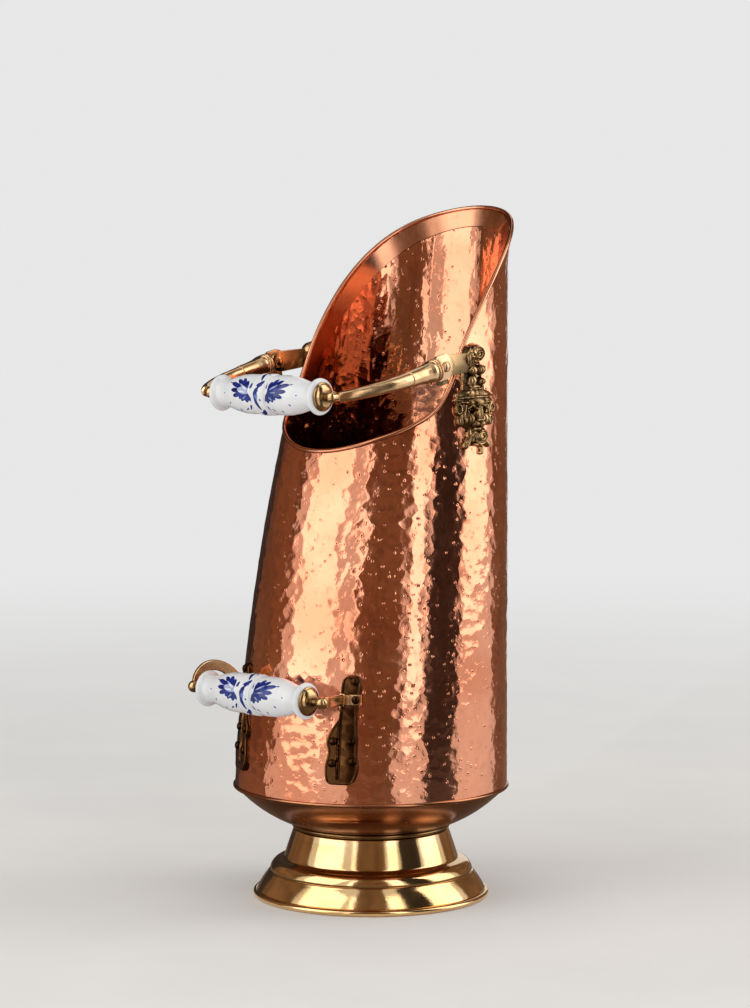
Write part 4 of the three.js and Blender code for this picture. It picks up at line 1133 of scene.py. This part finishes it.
def grip(prefix, at, turn):
    """A turned porcelain grip, its sprays turned round the axis by a share of a turn."""
    end, belt = GRIP_HALF, GRIP_BELT_HALF
    bulge = [
        [GRIP_BORE_R, end],
        *off([GRIP_FLANGE_R, end], [-2.4, 0], [-0.5, -0.9], [0, -2.4], [-0.5, -3.7]),
        *off([GRIP_NECK_R, end], [1.9, -4.5], [0.2, -5.5], [0, -10.5], [1, -15]),
        *off([GRIP_BULGE_R, end], [-2, -22], [-0.4, -30], [0, -38]),
        [GRIP_BULGE_R - 0.3, belt + 3.4],
    ]
    rings = [
        *off([GRIP_BULGE_R, belt], [-0.3, 3.2], [-1.2, 1.6]),
        *off([GRIP_BELT_R, belt], [-0.1, 0.5], [0, -1.2], [-0.6, -1.9], [-0.1, -2.6]),
        [GRIP_BELT_R, 0],
    ]
    half = np.concatenate([soften(bulge, 1.1, 5), soften(rings, 0.7)])
    outline = np.concatenate([half, (half * [1, -1])[::-1]])
    reach = lengths(outline)
    even = np.linspace(0, reach[-1], GRIP_POINTS)
    profile = np.stack([np.interp(even, reach, outline[:, c]) for c in (0, 1)], -1)
    inner = [[GRIP_BORE_R, -end + 0.1], [GRIP_BORE_R, end - 0.1]]
    profile = np.concatenate([profile, inner])
    round_ = 2 * np.pi * GRIP_BULGE_R
    s = np.mod(evenly(GRIP_SEGMENTS)[None] / (2 * np.pi) + turn, 1) * round_
    ink = sprays(profile[:, 1:], s, round_) * (profile[:, :1] > GRIP_NECK_R + 0.4)
    loops = placed(lathe(profile, GRIP_SEGMENTS), at, (1, 0, 0))
    name = prefix + "_grip"
    piece(name, [skin(loops, closed=True)], "porcelain", name, ink)


def grip_metal(prefix, body, at, ball_x):
    """The caps and balls at both ends of a grip, and the rod through it."""
    x = (1, 0, 0)
    start, end = GRIP_HALF + 0.05, ball_x - BALL_R + 0.4
    cap = [
        [0, start],
        *off([CAP_R, start], [-0.6, 0], [0, 0.5], [0, 1], [-0.7, 1.5], [-1, 1.6]),
        *([CAP_R * share, start + out] for share, out in CAP_DOME),
        [CAP_R * CAP_DOME[-1][0], end], [0, end],
    ]

    # An even tarnish, and painted shade round the ball's neck in the middle and at the rim next to
    # the grip.
    def cap_tarnish_and_shade(p):
        out = np.hypot(p[:, 1] - at[1], p[:, 2] - at[2]) / CAP_R
        return 0.32 + 0.6 * smooth(0.62, 0.32, out) + 0.3 * smooth(0.88, 1, out)

    cap = turned(soften(cap, 0.5, 3), at, x)
    pair(prefix + "_cap", [cap], "polished_brass", body, age_and_shade=cap_tarnish_and_shade)
    ball = [[0, ball_x - BALL_R], *arc(0, ball_x, BALL_R, -80, 80, 22), [0, ball_x + BALL_R]]
    # An even tarnish, and painted shade on the half of the ball toward the cap.
    ball_tarnish_and_shade = lambda p: 0.28 + 0.6 * smooth(1.4, 4.4, ball_x - p[:, 0])
    pair(prefix + "_ball", [turned(ball, at, x, 40)], "polished_brass", body, age_and_shade=ball_tarnish_and_shade)
    rod_end = ball_x + 1.6
    rod = [[0, -rod_end], [ROD_R, -rod_end], [ROD_R, rod_end], [0, rod_end]]
    piece(prefix + "_rod", [turned(rod, at, x, 24)], "aged_brass", body)


pivot = rivet(bail_at(FORK_X + FORK_T, 0), (1, 0, 0), FORK_T + GAP + EAR_T, PIVOT_RIVET)
pair("bail_pivot", [pivot], "aged_brass")
pair("bail_socket", socket_parts(), "aged_brass", "bail")
pair("bail_arm", [bail_arm()], "aged_brass", "bail")
bail_grip_at = bail_at(0, BAIL_LENGTH)
grip("bail", bail_grip_at, BAIL_GRIP_TURN)
grip_metal("bail", "bail", bail_grip_at, BAIL_BALL_X)

# ---- tipping handle


def tip_arm(rise, early, late, bow):
    """A flat bar from the ball to the body, with its riveted foot and stepped knuckle."""
    first, last = TIP_FOOT_ANGLE
    radius = float(section(TIP_FOOT_Z)[1])
    span = KNUCKLE_W / radius
    root = wall(first + span / 2, TIP_FOOT_Z, TIP_FOOT_FRONT + KNUCKLE_T - TIP_BAR_T / 3)
    start = np.array([TIP_BALL_X + 0.6, TIP_Y + 2.2, TIP_Z])
    after = start + (root - start) * early + [bow, 0, rise * 1.3]
    before = start + (root - start) * late + [1, 0, rise * 1.1]
    path = bezier([start, after, before, root], 50)
    taper = np.interp(np.linspace(0, 1, 51), [0, 0.1, 0.75, 1], [0.8, 0.95, 1, 1.04])
    bar = sweep(path, taper, (0, 0, 1), outline=rounded_box(TIP_BAR_T / 2, TIP_BAR_H / 2))

    def pad(a0, a1, half, front):
        rows = TIP_FOOT_Z + np.linspace(-half, half, 24)[:, None]
        angle = np.linspace(a0, a1, 30)[None]
        edge = np.minimum(angle - a0, a1 - angle) * radius
        edge = np.minimum(edge, half - np.abs(rows - TIP_FOOT_Z))
        out = TIP_FOOT_BACK + (front - TIP_FOOT_BACK) * rounded_edge(edge, PAD_ROUNDING)
        return relief(wall(angle, rows, out), wall(angle, rows, TIP_FOOT_BACK - 0.2))

    half, front = TIP_BAR_H / 2, TIP_FOOT_FRONT
    return [
        bar,
        pad(first, last, half, front),
        pad(first, first + span, half + KNUCKLE_RISE, front + KNUCKLE_T),
        pad(first + span * 0.8, first + span * 1.9, half, front + KNUCKLE_T * 0.5),
    ]


pair("tip_arm", tip_arm(*NEAR_BAR), "aged_brass", left=tip_arm(*FAR_BAR))
tip_grip_at = (0, TIP_Y, TIP_Z)
grip("tip", tip_grip_at, TIP_GRIP_TURN)
grip_metal("tip", "scuttle", tip_grip_at, TIP_BALL_X)

# ---- studio

PALE = (0.80, 0.80, 0.80)
FLOOR_TONES = ((0.84, 0.84, 0.84), (0.87, 0.87, 0.86))
FLOOR_R = 30
FADE = (0.3, 2.6)
WORLD_TONE = (1.0, 0.985, 0.96)
WORLD_STRENGTH = 0.6

AZIMUTH = 42
DISTANCE = 2.48
PITCH = 4.61
EYE_HEIGHT = 0.516
ASIDE = 0.0033
FOCAL_PX = 3100
IMAGE_H = 1008
SENSOR = 36

# Name, turn from the camera's azimuth, distance, width and brightness of each lamp.
LAMPS = [
    ("softbox_left", -61, 2.3, 1.9, 1.45), ("strip_left", -24, 2.4, 0.22, 1.2),
    ("strip_right", 31, 2.4, 0.62, 1.4), ("softbox_right", 93, 2.3, 1.5, 1.5),
]
LAMP_Z = 1.4
LAMP_TALL = 2.7
LAMP_TONE = (1.0, 0.97, 0.93)
AIM_Z = 0.25

# A card's way from the floor near the object, up behind the lamps and over the top.
FLAG_SWEEP = [(0.42, 0.004), (2.9, 0.004), (2.9, 2.8), (0.9, 3.8)]
# A card on the floor close round the foot, which the dish mirrors.
TABLE_SWEEP = [(0.1, 0.003), (0.5, 0.003)]
WARM = (0.26, 0.15, 0.08)
DARK = (0.05, 0.035, 0.03)
TABLE = (0.19, 0.135, 0.09)
# Middle from the camera's azimuth, spread and tone of each card.
FLAGS = [(0, 40, WARM), (57, 30, DARK), (140, 44, WARM), (200, 36, DARK), (-118, 50, WARM)]


def studio_floor():
    mesh = bpy.data.meshes.new("floor")
    t = evenly(96)
    rim = np.stack([FLOOR_R * np.cos(t), FLOOR_R * np.sin(t), 0 * t], -1)
    mesh.from_pydata(rim.tolist(), [], [list(range(96))])
    shown("floor", mesh)
    f = Finish("floor", Roughness=0.75, Specular_IOR_Level=0.2)
    mesh.materials.append(f.made(f.mix(f.span(f.noise(6, 4), 0.3, 0.7, 0, 1), *FLOOR_TONES)))
    far = f.span(f.node("VectorMath", "Value", {0: f.place}, operation="LENGTH"), *FADE, 0, 1)
    glow = f.node("Emission", "Emission", {"Color": PALE})
    near = f.surface.outputs["BSDF"]
    blend = f.node("MixShader", "Shader", {"Fac": far, 1: near, 2: glow})
    f.put(f.tree.nodes["Material Output"].inputs["Surface"], blend)


def studio_world():
    """A soft light, which the camera and mirrors see as the pale backdrop."""
    world = bpy.data.worlds.new("studio")
    scene.world = world
    world.use_nodes = True
    w = Nodes(world.node_tree)
    soft = w.tree.nodes["Background"]
    w.put(soft.inputs["Color"], WORLD_TONE)
    w.put(soft.inputs["Strength"], WORLD_STRENGTH)
    seen = w.node("LightPath", "Is Camera Ray")
    rays = seen.node.outputs
    for ray in ("Is Glossy Ray", "Is Transmission Ray"):
        seen = w.node("Math", "Value", {0: seen, 1: rays[ray]}, operation="MAXIMUM")
    backdrop = w.node("Background", "Background", {"Color": PALE})
    inputs = {"Fac": seen, 1: soft.outputs["Background"], 2: backdrop}
    light = w.node("MixShader", "Shader", inputs)
    w.put(w.tree.nodes["World Output"].inputs["Surface"], light)


def around(degrees, distance, height):
    t = np.radians(degrees)
    return Vector((distance * np.sin(t), AXIS[1] - distance * np.cos(t), height))


def softbox(name, degrees, distance, width, radiance):
    """A rectangular lamp that faces the object; radiance is how bright it shows in a mirror."""
    data = bpy.data.lights.new(name, "AREA")
    data.shape = "RECTANGLE"
    data.size, data.size_y = width, LAMP_TALL
    data.energy = radiance * np.pi * width * LAMP_TALL
    data.color = LAMP_TONE
    lamp = shown(name, data)
    lamp.location = around(degrees, distance, LAMP_Z)
    aim = Vector((0, AXIS[1], AIM_Z)) - lamp.location
    lamp.rotation_euler = aim.to_track_quat("-Z", "Y").to_euler()
    lamp.visible_camera = False


def card(name, sweep, turns, shade):
    """A dark card that only mirrors see, as a studio uses to draw dark bands on metal."""
    n = len(turns)
    corners = [n * j + i for j in range(len(sweep) - 1) for i in range(n - 1)]
    mesh = bpy.data.meshes.new(name)
    points = [tuple(around(turn, *place)) for place in sweep for turn in turns]
    mesh.from_pydata(points, [], [[c, c + 1, c + n + 1, c + n] for c in corners])
    f = Finish(name, Roughness=0.9)
    mottle = f.span(f.noise(1.3, 3), 0.35, 0.65, 0, 1)
    mesh.materials.append(f.made(f.mix(mottle, shade, tuple(0.6 * c for c in shade))))
    obj = shown(name, mesh)
    obj.visible_camera = obj.visible_diffuse = obj.visible_shadow = False


studio_floor()
studio_world()
for name, turn, *rest in LAMPS:
    softbox(name, AZIMUTH + turn, *rest)
for number, (middle, spread, shade) in enumerate(FLAGS, 1):
    turns = AZIMUTH + middle + spread * np.linspace(-0.5, 0.5, 13)
    card(f"flag_{number}", FLAG_SWEEP, turns, shade)
card("table_card", TABLE_SWEEP, np.linspace(0, 360, 97), TABLE)

camera_data = bpy.data.cameras.new("camera")
camera_data.sensor_width = SENSOR
camera_data.lens = FOCAL_PX * SENSOR / IMAGE_H
camera = shown("camera", camera_data)
side = np.radians(AZIMUTH)
camera.location = around(AZIMUTH, DISTANCE, EYE_HEIGHT)
camera.location += Vector((np.cos(side), np.sin(side), 0)) * ASIDE
camera.rotation_euler = (np.radians(90 - PITCH), 0, side)
scene.camera = camera
scene.view_settings.view_transform = "Standard"
